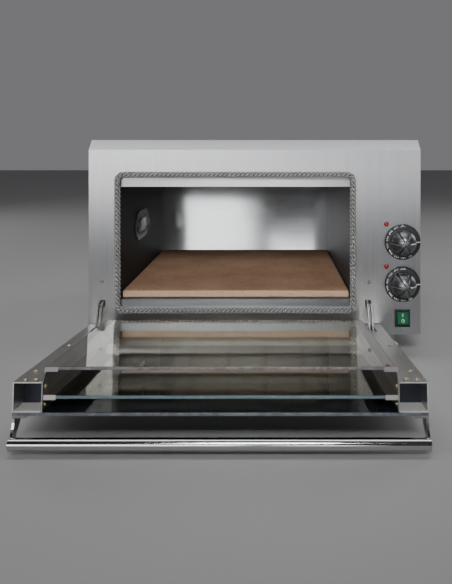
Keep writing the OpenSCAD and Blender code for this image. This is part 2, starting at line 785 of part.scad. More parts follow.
module thermostat_shaft_upper() color("silver") thermostat_shaft(knob_z[1]);
module thermostat_shaft_lower() color("silver") thermostat_shaft(knob_z[0]);

// Red pilot lamp pushed through the panel from behind, with a domed lens
module pilot_lamp(z) place_body() translate([control_x - pilot_side, 0, z + pilot_up]) rotate([90, 0, 0])
    rotate_extrude() {
        translate([0, -panel_t]) square([pilot_r, panel_t]);
        intersection() {
            circle(pilot_r);
            square(pilot_r);
        }
        translate([0, -panel_t - 18]) square([pilot_r + 1.5, 18]);
    }

module pilot_lamp_upper() color("red") pilot_lamp(knob_z[1]);
module pilot_lamp_lower() color("red") pilot_lamp(knob_z[0]);

bezel_t = 2.5;
switch_d = 24;
pocket = [bezel_w / 2 - 3.45, bezel_h / 2 - 2.8];
pocket_d = 14;
rocker_half = [pocket[0] - fit, pocket[1] - 1.6];
rocker_pivot_y = 3;
rocker_pin_r = 1.5;
rocker_pin_end = pocket[0] + 1.4;

module switch_housing() color("black") place_body() translate([control_x, 0, switch_z]) difference() {
    union() {
        box([-bezel_w / 2, bezel_w / 2], [-bezel_t, 0], [-bezel_h / 2, bezel_h / 2]);
        box([-switch_body[0], switch_body[0]], [0, switch_d], [-switch_body[1], switch_body[1]]);
    }
    box([-pocket[0], pocket[0]], [-bezel_t - cut, pocket_d], [-pocket[1], pocket[1]]);
    translate([0, rocker_pivot_y, 0])
        rod_x(rocker_pin_r + run_fit, -rocker_pin_end - run_fit, rocker_pin_end + run_fit);
}

// Green rocker with a shallow dished face, tilted to one of its two positions
module switch_rocker() color("green") place_body() translate([control_x, rocker_pivot_y, switch_z])
    rotate([-rocker_tilt, 0, 0]) {
        h = rocker_half[1];
        along_x(-rocker_half[0], rocker_half[0]) polygon([
            [-9, h], [-7.6, h * 0.4], [-7.2, 0], [-7.6, -h * 0.4], [-9, -h],
            [1, -h + 0.6], [5, -4], [5, 4], [1, h - 0.6]]);
        rod_x(rocker_pin_r, -rocker_pin_end, rocker_pin_end);
    }

// Hinges

tail_y = 22;
hook_drop = 9.6;
eye_r = pin_r + 3.5;
receiver_half = claw_half + 1;
catch_r = 3;
catch_y = tail_y - claw_w / 2 - fit - catch_r;
catch_z = claw_z - claw_w / 2 - fit - catch_r;

module claw_outline() {
    pivot = [-pivot_out, pivot_z];
    bend = [-claw_bend, claw_z];
    tail = [tail_y, claw_z];
    difference() {
        union() {
            bar2d(pivot, bend, claw_w - 0.1);
            bar2d(bend, tail, claw_w);
            bar2d(tail, tail - [0, hook_drop], claw_w);
            translate(pivot) circle(eye_r);
        }
        translate(pivot) circle(pin_r + run_fit);
    }
}

// Two-cheeked strap that hooks into the receiver and carries the door's pin
module hinge_claw(side) place_oven() on_side(side) translate([hinge_x, 0, 0]) {
    along_x(claw_gap / 2, claw_half) claw_outline();
    along_x(-claw_half, -claw_gap / 2) claw_outline();
    along_x(plate_t / 2 - claw_half, claw_half - plate_t / 2)
        bar2d([-claw_bend, claw_z], [tail_y, claw_z], claw_w / 3);
}

module hinge_claw_left() color("gray") hinge_claw("left");
module hinge_claw_right() color("gray") hinge_claw("right");

receiver_z = [claw_z - 15, claw_z + 46];
receiver_d = 32;

// Steel bracket behind the panel, with the cross pin that the claw hooks over
module hinge_receiver(side) place_oven() on_side(side) translate([hinge_x, 0, 0]) {
    outer = receiver_half + plate_t;
    for (x = [-outer, receiver_half])
        box([x, x + plate_t], [panel_t, receiver_d], receiver_z);
    box([-outer, outer], [panel_t, panel_t + plate_t], [claw_z + slot_rise + 4, receiver_z[1]]);
    translate([0, catch_y, catch_z]) rod_x(catch_r, -outer, outer);
}

module hinge_receiver_left() color("darkgray") hinge_receiver("left");
module hinge_receiver_right() color("darkgray") hinge_receiver("right");

hinge_half = hinge_clear / 2;
hinge_floor = back_w + fold_t + 4;
guide_u = 40;
rod_w = -12;
rod_u = [24, 126];
washer_u = 118;
rivet_t = 1.2;

// Channel inside the upright that carries the pin and guides the spring rod
module hinge_body(side) place_door() on_side(side) translate([hinge_x, 0, 0]) difference() {
    outer = hinge_half + plate_t;
    union() {
        for (x = [-outer, hinge_half])
            door_box([x, x + plate_t], [-12, hinge_len], [hinge_floor, face_w - fold_t]);
        door_box([-outer, outer], [-12, hinge_len], [hinge_floor, hinge_floor + plate_t]);
        door_box([-hinge_half, hinge_half], [guide_u, guide_u + plate_t], [hinge_floor, -3]);
    }
    rod_x(pin_r + run_fit, -outer - cut, outer + cut);
    translate([0, 0, rod_w]) rod_y(rod_r + fit, -guide_u - plate_t - cut, -guide_u + cut);
}

module hinge_body_left() color("darkgray") hinge_body("left");
module hinge_body_right() color("darkgray") hinge_body("right");

// Riveted pins: the shank turns in the claw's cheeks, the heads lie outside the hinge body
module hinge_pins() color("silver") place_door() both_sides() translate([hinge_x, 0, 0]) {
    outer = hinge_half + plate_t;
    rod_x(pin_r, -outer, outer);
    for (x = [-outer - rivet_t, outer]) rod_x(pin_r + rivet_t, x, x + rivet_t);
}

// Spring rods with the washer and nut that the spring pushes on
module hinge_rods() color("silver") place_door() both_sides() translate([hinge_x, 0, rod_w]) {
    rod_y(rod_r, -rod_u[1], -rod_u[0]);
    rod_y(coil_r + wire_r, -washer_u - 2, -washer_u);
    translate([0, -washer_u - 2, 0]) rotate([90, 0, 0]) cylinder(r = rod_r + 2.5, h = 4, $fn = 6);
}

coil_steps = 8;
wire_sides = 6;
coil_u0 = guide_u + plate_t + wire_r + fit;
coil_u1 = washer_u - wire_r - fit;
coil_pitch = (coil_u1 - coil_u0) / coil_turns;
echo(spring_gap = coil_pitch - 2 * wire_r);

// Compression spring: one unbroken wire, its rings set along a helix
module coil() {
    count = coil_turns * coil_steps;
    points = [for (i = [0:count], j = [0:wire_sides - 1])
        let (a = i * 360 / coil_steps, b = j * 360 / wire_sides, r = coil_r + wire_r * cos(b))
        [r * cos(a), r * sin(a), coil_u0 + i * coil_pitch / coil_steps + wire_r * sin(b)]];
    sides = [for (i = [0:count - 1], j = [0:wire_sides - 1], upper = [0, 1])
        let (a = i * wire_sides + j, b = i * wire_sides + (j + 1) % wire_sides)
        upper == 0 ? [a, b, b + wire_sides] : [a, b + wire_sides, a + wire_sides]];
    last = count * wire_sides;
    ends = [for (j = [1:wire_sides - 2], end = [0, 1])
        end == 0 ? [0, j + 1, j] : [last, last + j, last + j + 1]];
    polyhedron(points, concat(sides, ends));
}

module hinge_springs() color("gray") place_door() both_sides()
    translate([hinge_x, 0, rod_w]) rotate([90, 0, 0]) coil();

// Door

hinge_slot_u = [-11, 28];
hinge_slot_half = claw_half + 1.5;
end_plate_in = 30;

// Folded channel, open towards the panes, with a plate set back in its free end and a slot for the claw
module door_upright(side) place_door() on_side(side) difference() {
    union() {
        along_u(hinge_end, free_end) difference() {
            translate([upright_x, back_w]) square([upright_w, upright_t]);
            translate([upright_x - cut, back_w + fold_t])
                square([upright_w - fold_t + cut, upright_t - 2 * fold_t]);
        }
        door_box([upright_x, upright_x + upright_w - fold_t / 2],
            [free_end - end_plate_in - fold_t, free_end - end_plate_in],
            [back_w + fold_t / 2, face_w - fold_t / 2]);
    }
    door_box([hinge_x - hinge_slot_half, hinge_x + hinge_slot_half], hinge_slot_u,
        [face_w - fold_t - cut, face_w + cut]);
}

module door_upright_left() color("silver") door_upright("left");
module door_upright_right() color("silver") door_upright("right");

// Sheet wall beside the panes, raised between its ends, folded in as the inner pane's flange and up
// again as a stop in front of the pane
module glazing_wall(side) place_door() on_side(side) {
    slope = 8;
    along_x(wall_x, wall_x + fold_t) polygon([
        [-hinge_end, back_w + fit], [-hinge_end, face_w], [-pane_u0 + 4 + slope, face_w],
        [-pane_u0 + 4, flange_top], [-pane_u1 - fit - fold_t, flange_top],
        [-pane_u1 - fit - fold_t, face_w + slope], [-pane_u1 - slope, face_w],
        [-free_end, face_w], [-free_end, back_w + fit]]);
    door_box([wall_x - flange_w + fold_t, wall_x + fold_t], [pane_u0 - 4, pane_u1 + fit + fold_t],
        [flange_top - fold_t, flange_top]);
    door_box([wall_x - flange_w + fold_t, wall_x + fold_t], [pane_u1 + fit, pane_u1 + fit + fold_t],
        [flange_top - fold_t, flange_top + pane_t]);
}

module glazing_wall_left() color("lightgray") glazing_wall("left");
module glazing_wall_right() color("lightgray") glazing_wall("right");

bottom_leg = 30;

// Folded rail that closes the door's hinge end and stiffens the outer pane
module door_bottom_rail() color("gray") place_door() {
    x = wall_x - fit;
    door_box([-x, x], [hinge_end, hinge_end + bottom_leg], [back_w, back_w + fold_t]);
    door_box([-x, x], [hinge_end, hinge_end + fold_t], [back_w + fold_t, face_w]);
}

module inner_glass() color("lightblue") place_door()
    door_box([-wall_x + fit, wall_x - fit], [pane_u0, pane_u1], [flange_top, flange_top + pane_t]);

holder_play = 0.2;
holder_hold = 8;
holder_end = free_end - 2;

module middle_glass() color("lightblue") place_door() {
    x = wall_x - holder_w + holder_hold;
    door_box([-x, x], [pane_u0, holder_end - holder_t - holder_play], [middle_top - pane_t, middle_top]);
}

// Folded strip along the glazing wall that the middle pane slides into, closed at its free end
module middle_glass_holder(side) place_door() on_side(side) {
    h = pane_t + 2 * holder_play;
    low = middle_top + holder_play - h;
    difference() {
        along_u(pane_u0, holder_end) translate([wall_x - holder_w, low - holder_t])
            square([holder_w, h + 2 * holder_t]);
        along_u(pane_u0 - cut, holder_end - holder_t) translate([wall_x - holder_w - cut, low])
            square([holder_w - holder_t + cut, h]);
    }
}

module middle_glass_holder_left() color("white") middle_glass_holder("left");
module middle_glass_holder_right() color("white") middle_glass_holder("right");

module outer_glass() color("black") place_door()
    door_box([-door_half, door_half], [hinge_end, free_end], [glass_w, back_w]);

bracket_foot_w = 16;
bracket_in = 1.5;

// Curved flat bracket: foot on the outer pane, plate sweeping down to the end of the bar
module handle_bracket(side) place_door() on_side(side) {
    u1 = free_end - bracket_in;
    u0 = u1 - bracket_foot;
    front_bow = [-u1, glass_w - bar_out * 0.7];
    back_bow = [-u1 + 13, glass_w - bar_out * 0.55];
    front = [for (t = [0:0.1:1]) bezier([-u1, glass_w], front_bow, [-bar_u - bar_r, bar_w], t)];
    back = [for (t = [0:0.1:1]) bezier([-bar_u + bar_r, bar_w], back_bow, [-u0, glass_w], t)];
    along_x(door_half - bracket_t, door_half) {
        polygon(concat(front, back));
        translate([-bar_u, bar_w]) circle(bar_r);
    }
    door_box([door_half - bracket_foot_w, door_half], [u0, u1], [glass_w - bracket_t, glass_w]);
}

module handle_bracket_left() color("silver") handle_bracket("left");
module handle_bracket_right() color("silver") handle_bracket("right");

module handle_bar() color("silver") place_door() translate([0, -bar_u, bar_w])
    rod_x(bar_r, -door_half + bracket_t, door_half - bracket_t);

face_screw_u = 114;
end_screw = 9;
end_screw_back = 43;

// Screws on the uprights' faces and, below and above the middle pane, on the glazing walls
module door_screws() color("goldenrod") place_door() both_sides() {
    outer = upright_w * 2 / 3;
    inner = upright_w * 0.3;
    for (p = [[outer, face_screw_u], [outer, free_end - end_screw], [inner, free_end - end_screw - 1],
            [outer, free_end - end_screw_back]])
        translate([upright_x + p[0], -p[1], face_w]) screw_head(3.2);
    for (w = [middle_top + end_screw, middle_top - end_screw - 3])
        translate([wall_x, -free_end + end_screw, w]) rotate([0, -90, 0]) screw_head(3);
}

// Mains connection at the rear

block_l = 60;
block_h = 20;
block_d = 22;
lock_nut = 5;

// Three-way terminal block on the rear cover, above the gland
module terminal_block() color("ivory") place_body() translate([gland_x, 0, gland_z + 30]) difference() {
    box([-block_l / 2, block_l / 2], [rear_y - block_d, rear_y], [0, block_h]);
    for (i = [-1:1]) translate([i * block_l / 3.3, rear_y - block_d / 2, -cut])
        cylinder(r = 4, h = block_h + 2 * cut);
}

// Cable gland: lock nut inside, hexagon, thread and domed clamping nut outside
module cable_gland() color("black") place_body() translate([gland_x, body_d, gland_z]) rotate([-90, 0, 0])
    difference() {
        union() {
            translate([0, 0, -sheet_t - lock_nut]) cylinder(r = gland_thread_r + 4, h = lock_nut, $fn = 6);
            translate([0, 0, -sheet_t - 1]) cylinder(r = gland_thread_r, h = sheet_t + 2);
            cylinder(r = gland_thread_r + 4, h = 6, $fn = 6);
            rotate_extrude() polygon([
                [0, 5], [gland_thread_r, 5], [gland_thread_r, 9], [gland_thread_r + 3, 9],
                [gland_thread_r + 3, gland_out - 5], [gland_bore_r + 2, gland_out], [0, gland_out]]);
        }
        translate([0, 0, -sheet_t - lock_nut - cut])
            cylinder(r = gland_bore_r, h = gland_out + sheet_t + lock_nut + 2 * cut);
    }

front_panel();
outer_casing();
rear_cover();
base_plate();
feet();
foot_pads();
chamber_liner();
insulation_jacket();
top_lip();
front_sill();
stone_rails();
baking_stone();
upper_element();
lower_element();
upper_element_clips();
lower_element_clips();
door_gasket();
lamp_bezel();
lamp_lens();
lamp_holder();
lamp_bulb();
thermostat_upper();
thermostat_lower();
bulb_clips();
pilot_lamp_upper();
pilot_lamp_lower();
switch_housing();
hinge_receiver_left();
hinge_receiver_right();
hinge_claw_left();
hinge_claw_right();
panel_screws();
casing_screws();
terminal_block();
cable_gland();
knob_upper();
knob_lower();
thermostat_shaft_upper();
thermostat_shaft_lower();
switch_rocker();
door_upright_left();
door_upright_right();
glazing_wall_left();
glazing_wall_right();
door_bottom_rail();
inner_glass();
middle_glass();
middle_glass_holder_left();
middle_glass_holder_right();
outer_glass();
hinge_body_left();
hinge_body_right();
hinge_pins();
hinge_rods();
hinge_springs();
handle_bar();
handle_bracket_left();
handle_bracket_right();
door_screws();
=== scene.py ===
import json
import math

import bmesh
import bpy
from mathutils import Matrix, Vector, noise


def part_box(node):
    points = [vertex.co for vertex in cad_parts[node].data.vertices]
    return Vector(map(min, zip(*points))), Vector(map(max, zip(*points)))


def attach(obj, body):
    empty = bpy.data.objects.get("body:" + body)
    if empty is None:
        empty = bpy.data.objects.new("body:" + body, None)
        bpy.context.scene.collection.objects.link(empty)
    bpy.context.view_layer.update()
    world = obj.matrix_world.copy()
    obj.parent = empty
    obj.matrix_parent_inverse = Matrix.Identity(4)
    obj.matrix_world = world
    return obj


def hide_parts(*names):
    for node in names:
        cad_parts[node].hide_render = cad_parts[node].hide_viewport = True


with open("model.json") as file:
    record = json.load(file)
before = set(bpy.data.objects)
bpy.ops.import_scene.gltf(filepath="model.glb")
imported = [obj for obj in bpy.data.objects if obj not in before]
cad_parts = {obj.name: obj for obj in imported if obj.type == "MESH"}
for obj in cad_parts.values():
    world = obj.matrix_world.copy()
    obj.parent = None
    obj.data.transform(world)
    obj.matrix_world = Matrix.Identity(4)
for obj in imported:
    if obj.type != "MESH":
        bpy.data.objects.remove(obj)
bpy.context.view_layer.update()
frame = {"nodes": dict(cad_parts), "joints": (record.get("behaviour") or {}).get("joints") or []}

# Viewpoint
# The oven is seen square-on from a little right of its middle and just under its upper edge.
# The lens is shifted so that every upright edge stays upright.
front_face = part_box("front_panel")[0].y
viewpoint = bpy.data.cameras.new("viewpoint")
viewpoint.sensor_fit = "VERTICAL"
viewpoint.sensor_height = 36.0
viewpoint.lens = 36.585
viewpoint.shift_x = -0.0736
viewpoint.shift_y = -0.2551
viewpoint.clip_end = 50.0
camera = bpy.data.objects.new("viewpoint", viewpoint)
camera.location = (0.0249, front_face - 1.029, 0.3719)
camera.rotation_euler = (math.pi / 2, 0.0, 0.0)
bpy.context.scene.collection.objects.link(camera)
bpy.context.scene.camera = camera

# Studio
# A pale matt floor that the oven stands on, in a room that is paler towards its rear wall. Three
# softboxes low in front are there for the steel to mirror, a small light shines into the mouth,
# a long one hangs overhead and two stand behind.
floor_half = 7.0


def new_material(name):
    material = bpy.data.materials.new(name)
    material.use_nodes = True
    tree = material.node_tree
    return material, tree, tree.nodes["Principled BSDF"]


def feed(tree, value, socket):
    """Link an output to a socket, or set the socket to a plain value."""
    if isinstance(value, bpy.types.NodeSocket):
        tree.links.new(value, socket)
    else:
        socket.default_value = value


def cloudy(tree, position, scale, detail=2.0, roughness=0.5, distortion=0.0):
    """Noise from 0 to 1 at a position."""
    node = tree.nodes.new("ShaderNodeTexNoise")
    feed(tree, position, node.inputs["Vector"])
    feed(tree, scale, node.inputs["Scale"])
    node.inputs["Detail"].default_value = detail
    node.inputs["Roughness"].default_value = roughness
    node.inputs["Distortion"].default_value = distortion
    return node.outputs["Fac"]


def spread(tree, value, low, high, first=0.0, last=1.0):
    """The value's run from first to last, spread from low to high."""
    node = tree.nodes.new("ShaderNodeMapRange")
    feed(tree, value, node.inputs["Value"])
    node.inputs["From Min"].default_value = first
    node.inputs["From Max"].default_value = last
    node.inputs["To Min"].default_value = low
    node.inputs["To Max"].default_value = high
    return node.outputs["Result"]


floor_bm = bmesh.new()
bmesh.ops.create_grid(floor_bm, x_segments=1, y_segments=1, size=floor_half)
floor_mesh = bpy.data.meshes.new("studio_floor")
floor_bm.to_mesh(floor_mesh)
floor_bm.free()
studio_floor = bpy.data.objects.new("studio_floor", floor_mesh)
bpy.context.scene.collection.objects.link(studio_floor)
floor_paint, tree, shader = new_material("floor_paint")
coordinates = tree.nodes.new("ShaderNodeTexCoord").outputs
floor_clouds = cloudy(tree, coordinates["Object"], 1.3, detail=4.0)
feed(tree, spread(tree, floor_clouds, 0.42, 0.46), shader.inputs["Base Color"])
shader.inputs["Roughness"].default_value = 0.75
floor_mesh.materials.append(floor_paint)


def soft_light(name, place, target, size, power, beam=180.0):
    """Rectangular light; size is its width and height, beam its spread in degrees."""
    lamp = bpy.data.lights.new(name, "AREA")
    lamp.shape = "RECTANGLE"
    lamp.size, lamp.size_y = size
    lamp.energy = power
    lamp.spread = math.radians(beam)
    holder = bpy.data.objects.new(name, lamp)
    holder.location = place
    holder.rotation_euler = (Vector(target) - Vector(place)).to_track_quat("-Z", "Y").to_euler()
    bpy.context.scene.collection.objects.link(holder)


soft_light("left_softbox", (-1.0, -3.0, 0.52), (-1.0, 0.0, 0.5), size=(1.75, 1.0), power=19.0)
soft_light("low_softbox", (0.27, -3.0, 0.21), (0.27, 0.0, 0.21), size=(0.46, 0.38), power=2.1)
soft_light("right_softbox", (1.45, -2.7, 0.5), (0.6, 0.0, 0.4), size=(0.9, 0.9), power=5.0)
soft_light("mouth_light", (0.0, -1.5, 1.05), (0.0, 0.02, 0.13), size=(0.5, 0.3), power=1.1, beam=40.0)
soft_light("overhead_light", (-0.15, -0.3, 2.1), (-0.15, -0.15, 0.1), size=(2.3, 0.6), power=12.5)
soft_light("right_rear_light", (1.9, 1.1, 1.1), (0.0, 0.1, 0.2), size=(1.0, 1.4), power=10.0)
soft_light("left_rear_light", (-1.9, 1.3, 1.2), (0.0, 0.1, 0.2), size=(1.0, 1.4), power=8.0)


def axes(tree, vector):
    """The X, Y and Z of a vector."""
    node = tree.nodes.new("ShaderNodeSeparateXYZ")
    tree.links.new(vector, node.inputs["Vector"])
    return node.outputs


def two_tone(tree, value, dark, light, first, last):
    """Colour that runs from dark at first to light at last."""
    node = tree.nodes.new("ShaderNodeValToRGB")
    for stop, place, tone in zip(node.color_ramp.elements, (first, last), (dark, light)):
        stop.position = place
        stop.color = (*tone, 1.0)
    tree.links.new(value, node.inputs["Fac"])
    return node.outputs["Color"]


room = bpy.data.worlds.new("room")
room.use_nodes = True
tree = room.node_tree
direction = axes(tree, tree.nodes.new("ShaderNodeTexCoord").outputs["Generated"])
to_rear = spread(tree, direction["Y"], 0.0, 1.0, first=-1.0)
room_tone = two_tone(tree, to_rear, (0.035, 0.037, 0.042), (0.3, 0.3, 0.31), 0.2, 0.75)
room_paint = tree.nodes["Background"].inputs
feed(tree, room_tone, room_paint["Color"])
room_paint["Strength"].default_value = 0.6
bpy.context.scene.world = room


# Outer casing, base, rear cover and front panel
# Folded stainless sheet, brushed along one direction before bending and screwed at the rear.
# The brushing runs upright on the front and sides and front to back on the top.
square_on = 0.9


def finish_nodes(material, *names):
    for name in names:
        for slot in frame["nodes"][name].material_slots:
            slot.material = material


def reckon(tree, operation, *values):
    """Result of a sum on plain values or outputs."""
    node = tree.nodes.new("ShaderNodeMath")
    node.operation = operation
    for value, socket in zip(values, node.inputs):
        feed(tree, value, socket)
    return node.outputs[0]


def reckon_vector(tree, operation, first, second):
    node = tree.nodes.new("ShaderNodeVectorMath")
    node.operation = operation
    feed(tree, first, node.inputs[0])
    feed(tree, second, node.inputs[1])
    return node.outputs["Vector"]


def blend(tree, share, first, second, kind="FLOAT", way="MIX"):
    """First where the share is 0, second where it is 1."""
    node = tree.nodes.new("ShaderNodeMix")
    node.data_type = kind
    node.blend_type = way
    feed(tree, share, node.inputs[0])
    start = {"FLOAT": 2, "VECTOR": 4, "RGBA": 6}[kind]
    feed(tree, first, node.inputs[start])
    feed(tree, second, node.inputs[start + 1])
    return node.outputs[{"FLOAT": 0, "VECTOR": 1, "RGBA": 2}[kind]]


def group_tree(name, inputs, output):
    """Node group with inputs of the named kinds and one number as its output."""
    tree = bpy.data.node_groups.new(name, "ShaderNodeTree")
    for label, kind in inputs.items():
        tree.interface.new_socket(label, in_out="INPUT", socket_type="NodeSocket" + kind)
    tree.interface.new_socket(output, in_out="OUTPUT", socket_type="NodeSocketFloat")
    entry = tree.nodes.new("NodeGroupInput").outputs
    return tree, entry, tree.nodes.new("NodeGroupOutput").inputs[output]


def use_group(tree, group, values):
    node = tree.nodes.new("ShaderNodeGroup")
    node.node_tree = group
    for label, value in values.items():
        feed(tree, value, node.inputs[label])
    return node.outputs[0]


brush_inputs = {
    "Position": "Vector", "Facing": "Vector", "Along": "Vector", "Along Level": "Vector",
    "Fineness": "Float",
}
brush_lines, entry, result = group_tree("brush_lines", brush_inputs, "Lines")
upward = reckon(brush_lines, "ABSOLUTE", axes(brush_lines, entry["Facing"])["Z"])
is_level = reckon(brush_lines, "GREATER_THAN", upward, square_on)
squeeze = blend(brush_lines, is_level, entry["Along"], entry["Along Level"], "VECTOR")
squeezed = reckon_vector(brush_lines, "MULTIPLY", entry["Position"], squeeze)
fine_lines = cloudy(brush_lines, squeezed, entry["Fineness"], roughness=0.6)
coarse_lines = cloudy(brush_lines, squeezed, 330.0)
feed(brush_lines, blend(brush_lines, 0.5, fine_lines, coarse_lines), result)

smudges, entry, result = group_tree("smudges", {"Position": "Vector", "Size": "Float"}, "Film")
film = cloudy(smudges, entry["Position"], entry["Size"], detail=5.0, roughness=0.62, distortion=0.4)
feed(smudges, spread(smudges, film, 0.0, 1.0, first=0.35, last=0.7), result)


def brushed_steel(name, dark, light, rough, smear, turn=0.0, along=(1, 1, 0.02), along_level=(1, 0.02, 1)):
    """Stainless sheet; along and along_level squeeze the grain on upright and on level faces, and
    smear and turn spread its reflections across the grain."""
    material, tree, shader = new_material(name)
    coordinates = tree.nodes.new("ShaderNodeTexCoord").outputs
    lines = use_group(tree, brush_lines, {
        "Position": coordinates["Object"], "Facing": coordinates["Normal"],
        "Along": along, "Along Level": along_level, "Fineness": 1400.0,
    })
    hands = use_group(tree, smudges, {"Position": coordinates["Object"], "Size": 9.0})
    gloss = spread(tree, hands, *rough)
    level_way = reckon_vector(tree, "CROSS_PRODUCT", coordinates["Normal"], (0.0, 0.0, 1.0))
    sheet_way = reckon_vector(tree, "ADD", level_way, (0.02, 0.0, 0.0))
    world_way = tree.nodes.new("ShaderNodeVectorTransform")
    world_way.convert_from = "OBJECT"
    world_way.convert_to = "WORLD"
    feed(tree, sheet_way, world_way.inputs["Vector"])
    feed(tree, two_tone(tree, lines, dark, light, 0.3, 0.7), shader.inputs["Base Color"])
    feed(tree, reckon(tree, "MULTIPLY_ADD", lines, 0.03, gloss), shader.inputs["Roughness"])
    feed(tree, world_way.outputs["Vector"], shader.inputs["Tangent"])
    shader.inputs["Metallic"].default_value = 1.0
    shader.inputs["Anisotropic"].default_value = smear
    shader.inputs["Anisotropic Rotation"].default_value = turn
    return material


brushed_panel = brushed_steel(
    "brushed_panel", (0.48, 0.485, 0.5), (0.56, 0.565, 0.58), rough=(0.285, 0.3), smear=0.75
)
finish_nodes(brushed_panel, "front_panel", "outer_casing")
plain_sheet = brushed_steel(
    "plain_sheet", (0.42, 0.425, 0.43), (0.52, 0.525, 0.53), rough=(0.32, 0.42), smear=0.5
)
finish_nodes(plain_sheet, "rear_cover", "base_plate", "feet")


# Rubber foot pads
# Moulded black rubber discs pressed into the feet.
def speckled(name, dark, light, grain, rough, relief, metallic=0.0):
    """Plain finish with a fine grain; relief is the height of its bumps in metres."""
    material, tree, shader = new_material(name)
    coordinates = tree.nodes.new("ShaderNodeTexCoord").outputs
    specks = cloudy(tree, coordinates["Object"], grain, detail=6.0, roughness=0.65)
    bumps = tree.nodes.new("ShaderNodeBump")
    bumps.inputs["Strength"].default_value = 0.6
    bumps.inputs["Distance"].default_value = relief
    feed(tree, specks, bumps.inputs["Height"])
    feed(tree, two_tone(tree, specks, dark, light, 0.32, 0.68), shader.inputs["Base Color"])
    feed(tree, spread(tree, specks, *rough), shader.inputs["Roughness"])
    feed(tree, bumps.outputs["Normal"], shader.inputs["Normal"])
    shader.inputs["Metallic"].default_value = metallic
    return material


pad_rubber = speckled(
    "pad_rubber", (0.012, 0.012, 0.012), (0.03, 0.03, 0.03), grain=400.0, rough=(0.6, 0.85), relief=0.0003
)
finish_nodes(pad_rubber, "foot_pads")

# Screws of the casing, the panel and the door
# Steel pan heads with a cross recess, bright zinc-plated on the body and yellow-passivated on the
# door.
zinc_plate = speckled(
    "zinc_plate", (0.36, 0.355, 0.34), (0.58, 0.57, 0.545),
    grain=300.0, rough=(0.16, 0.22), relief=0.0001, metallic=1.0,
)
finish_nodes(zinc_plate, "casing_screws", "panel_screws")
yellow_zinc = speckled(
    "yellow_zinc", (0.42, 0.35, 0.2), (0.66, 0.57, 0.38),
    grain=300.0, rough=(0.29, 0.42), relief=0.0001, metallic=1.0,
)
finish_nodes(yellow_zinc, "door_screws")

# Chamber liner, lip and sill
# Bright stainless sheet, polished crosswise so that reflections smear up and down, and wiped by
# hand. Its rear wall leans back a little, and heat has dulled its ceiling. Its side walls are painted
# dark and matt, the left one near black and the right one dark blue grey, as painted shade for the
# dark room that they mirror. The lip and the sill are folded from satin sheet.
across = (0.02, 0.02, 1)
across_level = (0.02, 1, 1)
ceiling_dull = 0.5
wave_height = 0.0008
rear_lean = -0.12
right_lean = -0.035
liner_polish = brushed_steel(
    "liner_polish", (0.46, 0.47, 0.485), (0.54, 0.55, 0.56),
    rough=(0.1, 0.13), smear=0.3, turn=0.25, along=across, along_level=across_level,
)


def where(tree, mask, socket, value):
    """Give a shader's socket another value where the mask is 1."""
    kind = "RGBA" if socket.type == "RGBA" else "FLOAT"
    before = socket.links[0].from_socket if socket.is_linked else socket.default_value
    feed(tree, blend(tree, mask, before, value, kind), socket)


tree = liner_polish.node_tree
sockets = tree.nodes["Principled BSDF"].inputs
coordinates = tree.nodes.new("ShaderNodeTexCoord").outputs
place = axes(tree, coordinates["Object"])
facing = axes(tree, coordinates["Normal"])
left_wall = reckon(tree, "GREATER_THAN", facing["X"], square_on)
right_wall = reckon(tree, "LESS_THAN", facing["X"], -square_on)
rear_wall = reckon(tree, "LESS_THAN", facing["Y"], -square_on)
ceiling = reckon(tree, "LESS_THAN", facing["Z"], -square_on)
# Painted shade: the side walls lose their metal and take a dark tone, near black on the left and dark blue
# grey on the right.
for wall, tone, dull in (
    (left_wall, (0.012, 0.0125, 0.014, 1.0), 0.62),
    (right_wall, (0.06, 0.066, 0.085, 1.0), 0.6),
):
    where(tree, wall, sockets["Base Color"], tone)
    where(tree, wall, sockets["Metallic"], 0.0)
    where(tree, wall, sockets["Roughness"], dull)
where(tree, ceiling, sockets["Roughness"], ceiling_dull)
waves = cloudy(tree, coordinates["Object"], 9.0, detail=0.0)
sheet_height = reckon(tree, "MULTIPLY", waves, wave_height)
for wall, run, lean in ((rear_wall, place["Z"], rear_lean), (right_wall, place["Y"], right_lean)):
    slope = reckon(tree, "MULTIPLY", run, lean)
    sheet_height = reckon(tree, "MULTIPLY_ADD", wall, slope, sheet_height)
sheet_form = tree.nodes.new("ShaderNodeBump")
sheet_form.inputs["Distance"].default_value = 1.0
feed(tree, sheet_height, sheet_form.inputs["Height"])
feed(tree, sheet_form.outputs["Normal"], sockets["Normal"])
finish_nodes(liner_polish, "chamber_liner")
lip_satin = brushed_steel(
    "lip_satin", (0.46, 0.46, 0.475), (0.54, 0.54, 0.555),
    rough=(0.3, 0.38), smear=0.7, turn=0.25, along=across, along_level=across_level,
)
finish_nodes(lip_satin, "top_lip", "stone_rails", "upper_element_clips", "lower_element_clips", "bulb_clips")
sill_satin = brushed_steel(
    "sill_satin", (0.19, 0.205, 0.22), (0.23, 0.245, 0.26),
    rough=(0.3, 0.36), smear=0.5, turn=0.25, along=across, along_level=across_level,
)
finish_nodes(sill_satin, "front_sill")

# Tubular elements
# Nickel-steel tubes, bent while soft and annealed by their own heat to a dull brown grey.
sheath_oxide = speckled(
    "sheath_oxide", (0.06, 0.055, 0.05), (0.16, 0.145, 0.125),
    grain=60.0, rough=(0.45, 0.7), relief=0.0002, metallic=0.7,
)
finish_nodes(sheath_oxide, "upper_element", "lower_element")

